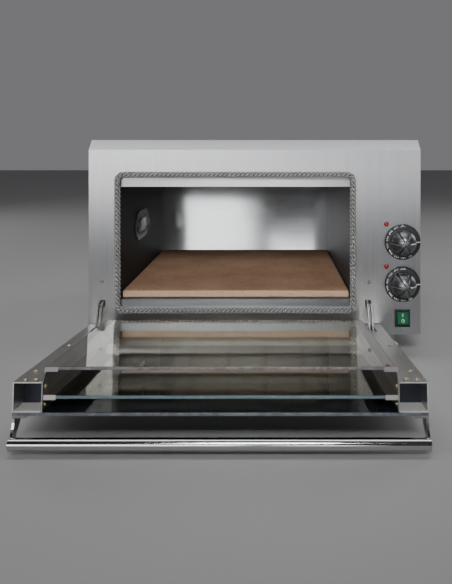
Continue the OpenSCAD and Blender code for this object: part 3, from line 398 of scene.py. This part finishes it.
# Oven lamp
# A long lamp let into the left wall: a steel frame painted near black as painted shade, like the
# wall around it, a ribbed glass lens, a ceramic holder and a clear bulb behind it.
# Painted shade: the bezel gets a near-black matt tone so that it sits dark in the shaded left wall.
bezel_painted_shade = speckled(
    "bezel_painted_shade", (0.016, 0.016, 0.018), (0.034, 0.034, 0.037), grain=60.0, rough=(0.2, 0.25), relief=0.0001
)
finish_nodes(bezel_painted_shade, "lamp_bezel")
lamp_ceramic = speckled(
    "lamp_ceramic", (0.6, 0.56, 0.46), (0.72, 0.68, 0.58), grain=200.0, rough=(0.35, 0.5), relief=0.0001
)
finish_nodes(lamp_ceramic, "lamp_holder")


def clear_glass(name, colour, rough, bending=1.5, sheen=(1.0, 1.0, 1.0)):
    """Glass with wiped smears; bending is its refractive index, sheen the tint of its reflections."""
    material, tree, shader = new_material(name)
    coordinates = tree.nodes.new("ShaderNodeTexCoord").outputs
    wipes = use_group(tree, smudges, {"Position": coordinates["Object"], "Size": 22.0})
    feed(tree, spread(tree, wipes, *rough), shader.inputs["Roughness"])
    shader.inputs["Base Color"].default_value = (*colour, 1.0)
    shader.inputs["Specular Tint"].default_value = (*sheen, 1.0)
    shader.inputs["Transmission Weight"].default_value = 1.0
    shader.inputs["IOR"].default_value = bending
    return material


lens_glass = clear_glass("lens_glass", (0.95, 0.96, 0.95), rough=(0.05, 0.12))
finish_nodes(lens_glass, "lamp_lens", "lamp_bulb")

# Thermostats, terminal block and cable gland
# Capillary thermostats in brown resin bodies, their steel shafts, a ceramic terminal block and a
# black nylon gland at the rear.
brown_resin = speckled(
    "brown_resin", (0.07, 0.035, 0.02), (0.12, 0.065, 0.035), grain=150.0, rough=(0.35, 0.5), relief=0.0002
)
finish_nodes(brown_resin, "thermostat_upper", "thermostat_lower")
finish_nodes(zinc_plate, "thermostat_shaft_upper", "thermostat_shaft_lower")
finish_nodes(lamp_ceramic, "terminal_block")
black_nylon = speckled(
    "black_nylon", (0.012, 0.012, 0.013), (0.025, 0.025, 0.027),
    grain=500.0, rough=(0.35, 0.55), relief=0.0001,
)
finish_nodes(black_nylon, "cable_gland", "switch_housing")

# Baking stone
# A cordierite slab pressed from coarse grain and fired, tan with paler sides where the mould
# rubbed it, pitted with small pores and a little browned by use.
stone_edge = 0.0022
pale_share = 0.75


def make_piece(bm, name, body, materials, nodes=()):
    mesh = bpy.data.meshes.new(name)
    bm.to_mesh(mesh)
    bm.free()
    piece = bpy.data.objects.new(name, mesh)
    bpy.context.scene.collection.objects.link(piece)
    for material in materials:
        mesh.materials.append(material)
    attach(piece, body)
    if nodes:
        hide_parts(*nodes)
    return piece


def slab(low, high, rounding, steps):
    bm = bmesh.new()
    bmesh.ops.create_cube(bm, size=1.0)
    bmesh.ops.scale(bm, vec=high - low, verts=bm.verts)
    bmesh.ops.translate(bm, vec=(low + high) / 2, verts=bm.verts)
    bmesh.ops.bevel(
        bm, geom=bm.edges[:], offset=rounding, segments=steps, profile=0.5, affect="EDGES", material=-1
    )
    return bm


fired_clay, tree, shader = new_material("fired_clay")
coordinates = tree.nodes.new("ShaderNodeTexCoord").outputs
clouds = cloudy(tree, coordinates["Object"], 11.0, detail=6.0, roughness=0.6)
clay_tone = two_tone(tree, clouds, (0.40, 0.225, 0.132), (0.57, 0.355, 0.23), 0.3, 0.72)
sand = cloudy(tree, coordinates["Object"], 520.0, detail=3.0)
sand_tone = spread(tree, sand, 0.72, 1.2, first=0.3, last=0.7)
sanded = blend(tree, 1.0, clay_tone, sand_tone, "RGBA", "MULTIPLY")
upward = reckon(tree, "ABSOLUTE", axes(tree, coordinates["Normal"])["Z"])
at_side = reckon(tree, "MULTIPLY", spread(tree, upward, 0.0, 1.0, first=0.8, last=0.2), pale_share)
pale_sides = blend(tree, at_side, sanded, (0.62, 0.44, 0.315, 1.0), "RGBA")
pores = tree.nodes.new("ShaderNodeTexVoronoi")
pores.inputs["Scale"].default_value = 230.0
feed(tree, coordinates["Object"], pores.inputs["Vector"])
off_pore = spread(tree, pores.outputs["Distance"], 0.0, 1.0, first=0.1, last=0.2)
pitted = blend(tree, off_pore, (0.12, 0.055, 0.03, 1.0), pale_sides, "RGBA")
clay_relief = tree.nodes.new("ShaderNodeBump")
clay_relief.inputs["Strength"].default_value = 0.5
clay_relief.inputs["Distance"].default_value = 0.0005
feed(tree, reckon(tree, "MULTIPLY_ADD", sand, 0.5, off_pore), clay_relief.inputs["Height"])
feed(tree, pitted, shader.inputs["Base Color"])
feed(tree, spread(tree, sand, 0.72, 0.95), shader.inputs["Roughness"])
feed(tree, clay_relief.outputs["Normal"], shader.inputs["Normal"])
stone_low, stone_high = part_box("baking_stone")
stone_bm = slab(stone_low, stone_high, stone_edge, 3)
make_piece(stone_bm, "stone_slab", "oven_body", [fired_clay], ["baking_stone"])

# Mineral-wool jacket
# Pressed mineral wool between liner and casing, straw-coloured and fibrous. Its corners are soft
# and its faces sink in a little where the fibres have settled.
felt_grain = 0.005
felt_sunk = 0.0034
tuft_height = 0.0008
tufts_per_metre = 45.0
jacket_scratch = bpy.data.objects.new("jacket_scratch", frame["nodes"]["insulation_jacket"].data.copy())
bpy.context.scene.collection.objects.link(jacket_scratch)
felt = jacket_scratch.modifiers.new("felt", "REMESH")
felt.mode = "VOXEL"
felt.voxel_size = felt_grain
felted = jacket_scratch.evaluated_get(bpy.context.evaluated_depsgraph_get())
wool_bm = bmesh.new()
wool_bm.from_mesh(felted.to_mesh())
felted.to_mesh_clear()
jacket_mesh = jacket_scratch.data
bpy.data.objects.remove(jacket_scratch)
bpy.data.meshes.remove(jacket_mesh)
wool_bm.normal_update()
settled = []
for vertex in wool_bm.verts:
    tuft = noise.fractal(vertex.co * tufts_per_metre, 0.7, 2.0, 4)
    settled.append(vertex.co - vertex.normal * (felt_sunk + tuft_height * max(-1.0, min(1.0, tuft))))
for vertex, spot in zip(wool_bm.verts, settled):
    vertex.co = spot
for face in wool_bm.faces:
    face.smooth = True
wool = speckled("wool", (0.23, 0.19, 0.11), (0.5, 0.44, 0.3), grain=120.0, rough=(0.9, 1.0), relief=0.004)
make_piece(wool_bm, "wool_jacket", "oven_body", [wool], ["insulation_jacket"])

# Rope gasket
# A rope braided from eight glass-fibre strands over a dark core, glued to the panel around the
# mouth. It is pressed flat behind and grey from use. The strands that run one way are painted darker,
# a painted shade for the gaps of the plait.
rope_low, rope_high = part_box("door_gasket")
rope_r = 0.00575
corner_r = 0.010
glue_t = 0.0003
strand_r = 0.00135
strand_turn = 0.030
strands_each_way = 4
weave_height = 0.0005
steps_per_turn = 24
core_r = rope_r - 2.1 * strand_r
core_steps = 240
core_sides = 10
rope_middle = Vector(((rope_low.x + rope_high.x) / 2, 0.0, (rope_low.z + rope_high.z) / 2))
run_x = (rope_high.x - rope_low.x) / 2 - rope_r - corner_r
run_z = (rope_high.z - rope_low.z) / 2 - rope_r - corner_r
bend = corner_r * math.pi / 2
rope_length = 4 * (run_x + run_z + bend)


def on_rope(s):
    """Point and outward direction on the rope's middle line, s metres from the lower left corner."""
    sides = [
        (2 * run_x, Vector((-run_x, -run_z - corner_r)), Vector((1, 0))),
        (2 * run_z, Vector((run_x + corner_r, -run_z)), Vector((0, 1))),
        (2 * run_x, Vector((run_x, run_z + corner_r)), Vector((-1, 0))),
        (2 * run_z, Vector((-run_x - corner_r, run_z)), Vector((0, -1))),
    ]
    s = s % rope_length
    for length, start, ahead in sides:
        outward = Vector((ahead.y, -ahead.x))
        if s <= length:
            return start + ahead * s, outward
        s -= length
        if s <= bend:
            turn = Matrix.Rotation(s / corner_r, 2)
            centre = start + ahead * length - outward * corner_r
            return centre + turn @ outward * corner_r, turn @ outward
        s -= bend
    return sides[0][1], Vector((0, -1))


def rope_point(s, angle, reach):
    """Point around the rope; the half towards the panel is pressed flat."""
    middle, outward = on_rope(s)
    side = outward * math.cos(angle) * reach
    depth = min(rope_low.y + rope_r - math.sin(angle) * reach, rope_high.y - glue_t - strand_r)
    return Vector((rope_middle.x + middle.x + side.x, depth, rope_middle.z + middle.y + side.y))


def rope_strand(way, phase):
    """Middle line of a strand that winds one way around the rope, over and under the others."""
    turns = round(rope_length / strand_turn)
    count = turns * steps_per_turn
    points = []
    for i in range(count):
        along = 2 * math.pi * turns * i / count
        weave = way * weave_height * math.cos(along * 4 + 4 * phase)
        reach = rope_r - 1.25 * strand_r + weave
        points.append(rope_point(rope_length * i / count, way * along + phase, reach))
    return points


strands = bpy.data.curves.new("rope_strands", "CURVE")
strands.dimensions = "3D"
strands.bevel_depth = strand_r
strands.bevel_resolution = 1
for way in (1, -1):
    for number in range(strands_each_way):
        points = rope_strand(way, number * 2 * math.pi / strands_each_way)
        spline = strands.splines.new("POLY")
        spline.points.add(len(points) - 1)
        spline.use_cyclic_u = True
        for target, point in zip(spline.points, points):
            target.co = (*point, 1.0)
scratch = bpy.data.objects.new("rope_strands", strands)
bpy.context.scene.collection.objects.link(scratch)
rope_bm = bmesh.new()
rope_bm.from_mesh(scratch.to_mesh())
rope_bm.faces.ensure_lookup_table()
scratch.to_mesh_clear()
bpy.data.objects.remove(scratch)
bpy.data.curves.remove(strands)
# The strands that wind the other way get the painted-shade copy of the fibre.
for face in rope_bm.faces[len(rope_bm.faces) // 2:]:
    face.material_index = 2
core_rings = [
    [
        rope_bm.verts.new(rope_point(rope_length * i / core_steps, 2 * math.pi * k / core_sides, core_r))
        for k in range(core_sides)
    ]
    for i in range(core_steps)
]
for ring, following in zip(core_rings, core_rings[1:] + core_rings[:1]):
    for k in range(core_sides):
        beside = (k + 1) % core_sides
        corners = (ring[k], ring[beside], following[beside], following[k])
        rope_bm.faces.new(corners).material_index = 1
bmesh.ops.recalc_face_normals(rope_bm, faces=rope_bm.faces)
for face in rope_bm.faces:
    face.smooth = True
glass_fibre = speckled(
    "glass_fibre", (0.26, 0.26, 0.25), (0.46, 0.46, 0.445), grain=700.0, rough=(0.7, 0.9), relief=0.0002
)
rope_core = speckled(
    "rope_core", (0.01, 0.01, 0.01), (0.03, 0.03, 0.028), grain=500.0, rough=(0.8, 0.95), relief=0.0002
)
# Painted shade: a darker copy of the glass fibre, standing in for the shade in the gaps of the plait.
fibre_painted_shade = speckled(
    "fibre_painted_shade", (0.15, 0.15, 0.147), (0.27, 0.27, 0.263), grain=700.0, rough=(0.7, 0.9), relief=0.0002
)
rope_materials = [glass_fibre, rope_core, fibre_painted_shade]
make_piece(rope_bm, "rope_gasket", "oven_body", rope_materials, ["door_gasket"])

# Hinges
# Pressed steel receivers behind the panel, two-cheeked claws that hook into them, and the hinge
# bodies, pins, rods and springs inside the door's uprights. All zinc-plated.
hinge_steel = speckled(
    "hinge_steel", (0.2, 0.2, 0.195), (0.33, 0.33, 0.315),
    grain=90.0, rough=(0.28, 0.42), relief=0.0001, metallic=1.0,
)
for side in ("left", "right"):
    finish_nodes(hinge_steel, "hinge_receiver_" + side, "hinge_claw_" + side, "hinge_body_" + side)
finish_nodes(hinge_steel, "hinge_pins", "hinge_rods", "hinge_springs")

# Door frame
# Uprights and glazing walls folded from brushed stainless sheet, brushed lengthwise, with cut
# edges, a folded bottom rail, and slim bright strips that hold the middle pane. At the free end the
# uprights are open and a plate closes them a little way in. The uprights' cut edges carry a painted
# highlight; the plate is painted dark as painted shade, and the floor inside is painted bright and
# matt as painted light.
upright_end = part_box("door_upright_left")[0].y
upright_corners = [vertex.co for vertex in frame["nodes"]["door_upright_left"].data.vertices]
end_heights = [corner.z for corner in upright_corners if corner.y < upright_end + 0.006]
end_middle = (min(end_heights) + max(end_heights)) / 2
edge_first = upright_end - 0.002
edge_last = upright_end + 0.004
wall_edge_last = upright_end + 0.024
plate_last = upright_end + 0.05


def where_all(material, tests, tone, dull):
    """Own tone and dullness for the faces that pass every test; a test is an operation on the X, Y
    or Z of the face's direction or place, and its limits. Hands back the mask."""
    tree = material.node_tree
    sockets = tree.nodes["Principled BSDF"].inputs
    coordinates = tree.nodes.new("ShaderNodeTexCoord").outputs
    mask = 1.0
    for source, axis, operation, *limits in tests:
        passed = reckon(tree, operation, axes(tree, coordinates[source])[axis], *limits)
        mask = reckon(tree, "MULTIPLY", passed, mask)
    where(tree, mask, sockets["Base Color"], (*tone, 1.0))
    where(tree, mask, sockets["Roughness"], dull)
    return mask


def cut_ends(material, first, last, tone, dull):
    """Own tone for the faces that look forward between two places near the door's free end."""
    forward = ("Normal", "Y", "LESS_THAN", -square_on)
    at_end = ("Object", "Y", "COMPARE", (first + last) / 2, (last - first) / 2)
    where_all(material, (forward, at_end), tone, dull)


upright_steel = brushed_steel(
    "upright_steel", (0.43, 0.415, 0.39), (0.52, 0.505, 0.48), rough=(0.29, 0.38), smear=0.4
)
# Painted highlight: a pale tone on the upright's cut edges at the free end.
cut_ends(upright_steel, edge_first, edge_last, (0.8, 0.8, 0.81), 0.45)
# Painted shade: the plate inside the free end gets a dark blue-grey tone.
cut_ends(upright_steel, edge_last, plate_last, (0.055, 0.06, 0.072), 0.35)
# Painted light: the floor inside the free end gets a bright, matt, non-metallic tone.
painted_light_floor_tests = (
    ("Normal", "Z", "GREATER_THAN", square_on),
    ("Object", "Y", "LESS_THAN", plate_last),
    ("Object", "Z", "LESS_THAN", end_middle),
)
painted_light_floor = where_all(upright_steel, painted_light_floor_tests, (0.85, 0.85, 0.84), 0.5)
tree = upright_steel.node_tree
where(tree, painted_light_floor, tree.nodes["Principled BSDF"].inputs["Metallic"], 0.0)
finish_nodes(upright_steel, "door_upright_left", "door_upright_right", "door_bottom_rail")
wall_steel = brushed_steel(
    "wall_steel", (0.38, 0.375, 0.36), (0.48, 0.475, 0.46), rough=(0.29, 0.36), smear=0.5
)
cut_ends(wall_steel, edge_first, wall_edge_last, (0.45, 0.45, 0.46), 0.45)
finish_nodes(wall_steel, "glazing_wall_left", "glazing_wall_right")
holder_steel = brushed_steel(
    "holder_steel", (0.66, 0.66, 0.66), (0.78, 0.78, 0.78), rough=(0.16, 0.23), smear=0.0
)
cut_ends(holder_steel, edge_first, edge_last, (0.62, 0.605, 0.57), 0.4)
finish_nodes(holder_steel, "middle_glass_holder_left", "middle_glass_holder_right")

# Door panes
# Three panes: a clear inner one against the gasket, a clear middle one in its strips and a dark
# tinted outer one that the handle's brackets are bolted to. Their ground edges show green or grey.
pane_edge = 0.0006


def joint_named(name):
    return [joint for joint in frame["joints"] if joint["name"] == name][0]


door_joint = joint_named("door_hinge")
open_tilt = math.radians(90.0 - door_joint["range_deg"][1])
door_place = Matrix.Translation(door_joint["pos_m"]) @ Matrix.Rotation(-open_tilt, 4, "X")


def door_box(name):
    """Lowest and highest corner of a node in the door's own straight frame."""
    back = door_place.inverted()
    corners = [back @ vertex.co for vertex in frame["nodes"][name].data.vertices]
    low = Vector([min(corner[axis] for corner in corners) for axis in range(3)])
    high = Vector([max(corner[axis] for corner in corners) for axis in range(3)])
    return low, high


def pane(name, node, face_glass, edge_glass):
    low, high = door_box(node)
    bm = slab(low, high, pane_edge, 2)
    for face in bm.faces:
        face.material_index = 0 if abs(face.normal.z) > square_on else 1
    bmesh.ops.transform(bm, matrix=door_place, verts=bm.verts)
    return make_piece(bm, name, "door", [face_glass, edge_glass], [node])


pane_glass = clear_glass(
    "pane_glass", (0.97, 0.95, 0.87), rough=(0.0, 0.02), bending=1.65, sheen=(1.0, 0.9, 0.66)
)
grey_edge = speckled(
    "grey_edge", (0.13, 0.13, 0.14), (0.2, 0.2, 0.212), grain=120.0, rough=(0.2, 0.35), relief=0.00005
)
green_edge = speckled(
    "green_edge", (0.11, 0.16, 0.175), (0.17, 0.225, 0.24), grain=120.0, rough=(0.15, 0.3), relief=0.00005
)
dark_glass = speckled(
    "dark_glass", (0.010, 0.013, 0.019), (0.012, 0.0155, 0.022),
    grain=30.0, rough=(0.02, 0.05), relief=0.00001,
)
dark_glass.node_tree.nodes["Principled BSDF"].inputs["Specular Tint"].default_value = (0.7, 0.84, 1.0, 1.0)
dark_edge = speckled(
    "dark_edge", (0.09, 0.1, 0.115), (0.16, 0.18, 0.2), grain=80.0, rough=(0.2, 0.35), relief=0.00005
)
pane("inner_pane", "inner_glass", pane_glass, grey_edge)
pane("middle_pane", "middle_glass", pane_glass, green_edge)
pane("outer_pane", "outer_glass", dark_glass, dark_edge)

# Handle
# A polished stainless tube between two flat curved brackets that are bolted through the outer
# pane.
bar_polish = brushed_steel(
    "bar_polish", (0.5, 0.5, 0.5), (0.58, 0.58, 0.59),
    rough=(0.1, 0.16), smear=0.0, along=across, along_level=across_level,
)
finish_nodes(bar_polish, "handle_bar", "handle_bracket_left", "handle_bracket_right")

# Thermostat knobs
# A creased grip with a dark satin metallic coat on a charcoal skirt, whose rim carries a pale ring
# as a painted highlight. Numbers and index line are printed in white.
skirt_r = 0.031
skirt_profile = [(0.0305, 0.0034), (0.0290, 0.0046), (0.0215, 0.0058)]
skirt_front = front_face - skirt_profile[2][1]
grip_r = 0.0215
crown_base = 0.014
knob_h = 0.031
number_r = 0.0264
number_h = 0.0062
number_t = 0.00008
number_lift = 0.00006
number_turn = math.radians(26.0)
hottest = 450
degrees_apart = 50
line_start = 0.0085
line_half = 0.0009
line_lift = 0.0001
line_sunk = 0.0006
rim_wire_r = 0.0003
rim_r = skirt_r - 0.0002
rim_out = 0.0029
rim_steps = 96
knob_coat = speckled(
    "knob_coat", (0.2, 0.204, 0.21), (0.27, 0.274, 0.28),
    grain=300.0, rough=(0.34, 0.42), relief=0.00003, metallic=1.0,
)
tree = knob_coat.node_tree
sockets = tree.nodes["Principled BSDF"].inputs
coordinates = tree.nodes.new("ShaderNodeTexCoord").outputs
on_skirt = reckon(tree, "GREATER_THAN", axes(tree, coordinates["Object"])["Y"], skirt_front - 0.0001)
where(tree, on_skirt, sockets["Base Color"], (0.018, 0.02, 0.0225, 1.0))
where(tree, on_skirt, sockets["Metallic"], 0.0)
finish_nodes(knob_coat, "knob_upper", "knob_lower")
print_white = speckled(
    "print_white", (0.82, 0.82, 0.81), (0.93, 0.93, 0.92), grain=300.0, rough=(0.5, 0.7), relief=0.00002
)
# Painted highlight: the pale ring on the skirt's rim.
rim_painted_highlight = speckled(
    "rim_painted_highlight", (0.3, 0.3, 0.3), (0.5, 0.5, 0.5),
    grain=400.0, rough=(0.3, 0.45), relief=0.00003, metallic=0.8,
)


def print_number(bm, words, centre, angle):
    """Number laid on the skirt's slope, an angle clockwise from the top."""
    label = bpy.data.curves.new("label", "FONT")
    label.body = words
    label.size = number_h
    label.align_x = "CENTER"
    label.align_y = "CENTER"
    label.extrude = number_t
    scratch = bpy.data.objects.new("label", label)
    bpy.context.scene.collection.objects.link(scratch)
    first = len(bm.verts)
    bm.from_mesh(scratch.to_mesh())
    bm.verts.ensure_lookup_table()
    (outer_r, outer_h), (inner_r, inner_h) = skirt_profile[1:]
    slope = math.atan2(inner_h - outer_h, outer_r - inner_r)
    out = outer_h + (outer_r - number_r) * math.tan(slope) + number_lift
    stand = Matrix.Rotation(math.pi / 2 + slope, 4, "X")
    turned = Matrix.Rotation(-angle, 4, "Y")
    spot = Matrix.Translation(centre) @ turned @ Matrix.Translation((0, -out, number_r)) @ stand
    bmesh.ops.transform(bm, matrix=spot, verts=bm.verts[first:])
    scratch.to_mesh_clear()
    bpy.data.objects.remove(scratch)
    bpy.data.curves.remove(label)


def index_line(bm, centre):
    """Line from the crown down the grip and over the skirt, sunk into both."""
    rise = knob_h - crown_base
    dome_r = (grip_r * grip_r + rise * rise) / (2 * rise)
    path = []
    for i in range(7):
        r = line_start + (grip_r - 0.0002 - line_start) * i / 6
        path.append((r, knob_h - dome_r + math.sqrt(dome_r * dome_r - r * r)))
    path += [(grip_r + 0.0003, crown_base - 0.003), (grip_r + 0.0005, skirt_profile[2][1] + 0.0004)]
    path += [skirt_profile[1], (skirt_profile[0][0] + 0.0002, skirt_profile[0][1])]
    rails = []
    for r, out in path:
        for lift in (line_lift, -line_sunk):
            for half in (-line_half, line_half):
                rails.append(bm.verts.new(centre + Vector((r + lift * 0.5, -out - lift, half))))
    for i in range(len(path) - 1):
        a, b = rails[4 * i:4 * i + 4], rails[4 * i + 4:4 * i + 8]
        for j, k in ((0, 1), (1, 3), (3, 2), (2, 0)):
            bm.faces.new((a[j], a[k], b[k], b[j]))
    bm.faces.new((rails[0], rails[1], rails[3], rails[2]))
    bm.faces.new((rails[-4], rails[-3], rails[-1], rails[-2]))


def rim_ring(bm, centre):
    """Thin bead around the skirt's edge, spun from a six-sided section; it carries the painted highlight."""
    first_edge = len(bm.edges)
    first_face = len(bm.faces)
    spot = Matrix.Translation(centre + Vector((rim_r, -rim_out, 0.0)))
    turned = Matrix.Rotation(math.radians(30.0), 4, "Z")
    section = bmesh.ops.create_circle(bm, radius=rim_wire_r, segments=6, matrix=spot @ turned)
    bm.edges.ensure_lookup_table()
    bmesh.ops.spin(
        bm, geom=section["verts"] + bm.edges[first_edge:], cent=centre, axis=(0.0, 1.0, 0.0),
        angle=2 * math.pi, steps=rim_steps, use_merge=True,
    )
    bm.faces.ensure_lookup_table()
    for face in bm.faces[first_face:]:
        face.material_index = 1
        face.smooth = True


def knob_print(name, body, joint_name):
    axis_place = joint_named(joint_name)["pos_m"]
    centre = Vector((axis_place[0], front_face, axis_place[2]))
    bm = bmesh.new()
    for step in range(hottest // degrees_apart):
        print_number(bm, str(hottest - degrees_apart * step), centre, number_turn * step)
    index_line(bm, centre)
    rim_ring(bm, centre)
    bmesh.ops.recalc_face_normals(bm, faces=bm.faces)
    return make_piece(bm, name, body, [print_white, rim_painted_highlight])


knob_print("upper_knob_print", "knob_upper_set", "thermostat_upper_turn")
knob_print("lower_knob_print", "knob_lower_set", "thermostat_lower_turn")

# Pilot lamps and mains switch
# Moulded red lenses pushed through the panel, and a green rocker in a black snap-in housing. A bar
# and a ring are printed in white on the rocker's dished face; the bar also stands in for the pale
# highlight streak on the rocker, so it is partly a painted highlight.
pilot_red = speckled(
    "pilot_red", (0.3, 0.006, 0.006), (0.42, 0.012, 0.01), grain=200.0, rough=(0.08, 0.15), relief=0.00002
)
finish_nodes(pilot_red, "pilot_lamp_upper", "pilot_lamp_lower")
rocker_green = speckled(
    "rocker_green", (0.008, 0.13, 0.055), (0.014, 0.19, 0.08), grain=120.0, rough=(0.1, 0.2), relief=0.00002
)
finish_nodes(rocker_green, "switch_rocker")
rocker_joint = joint_named("switch_rock")
rocker_tilt = math.radians(rocker_joint["range_deg"][1] / 2)
rocker_place = Matrix.Translation(rocker_joint["pos_m"]) @ Matrix.Rotation(-rocker_tilt, 4, "X")
rocker_half_h = 0.0106
rocker_face = 0.0072
dish_share = 0.4
dish_rise = 0.0004
brow_rise = 0.0014
mark_lift = 0.00008
mark_t = 0.00006
bar_half = 0.0007
bar_shares = (0.2, 0.4, 0.55, 0.7)
ring_share = -0.45
ring_radii = (0.0019, 0.0027)
ring_steps = 24


def on_rocker(x, share):
    """Point on the dished face, share of the half height above the middle."""
    gentle = min(abs(share), dish_share) / dish_share
    steep = max(0.0, abs(share) - dish_share) / (1.0 - dish_share)
    depth = rocker_face + dish_rise * gentle + brow_rise * steep
    return Vector((x, -depth - mark_lift, share * rocker_half_h))


mark_bm = bmesh.new()
# The white bar: a printed mark that is also a painted highlight streak.
bar_rows = [
    [mark_bm.verts.new(on_rocker(x, share)) for x in (-bar_half, bar_half)] for share in bar_shares
]
ring_rows = []
for i in range(ring_steps):
    turn = 2 * math.pi * i / ring_steps
    ring_rows.append([
        mark_bm.verts.new(on_rocker(r * math.cos(turn), ring_share + r * math.sin(turn) / rocker_half_h))
        for r in ring_radii
    ])
for rows in (bar_rows, ring_rows + ring_rows[:1]):
    for row, following in zip(rows, rows[1:]):
        mark_bm.faces.new((row[0], row[1], following[1], following[0]))
bmesh.ops.recalc_face_normals(mark_bm, faces=mark_bm.faces)
bmesh.ops.solidify(mark_bm, geom=mark_bm.faces[:], thickness=mark_t)
bmesh.ops.recalc_face_normals(mark_bm, faces=mark_bm.faces)
bmesh.ops.transform(mark_bm, matrix=rocker_place, verts=mark_bm.verts)
make_piece(mark_bm, "rocker_marks", "rocker", [print_white])
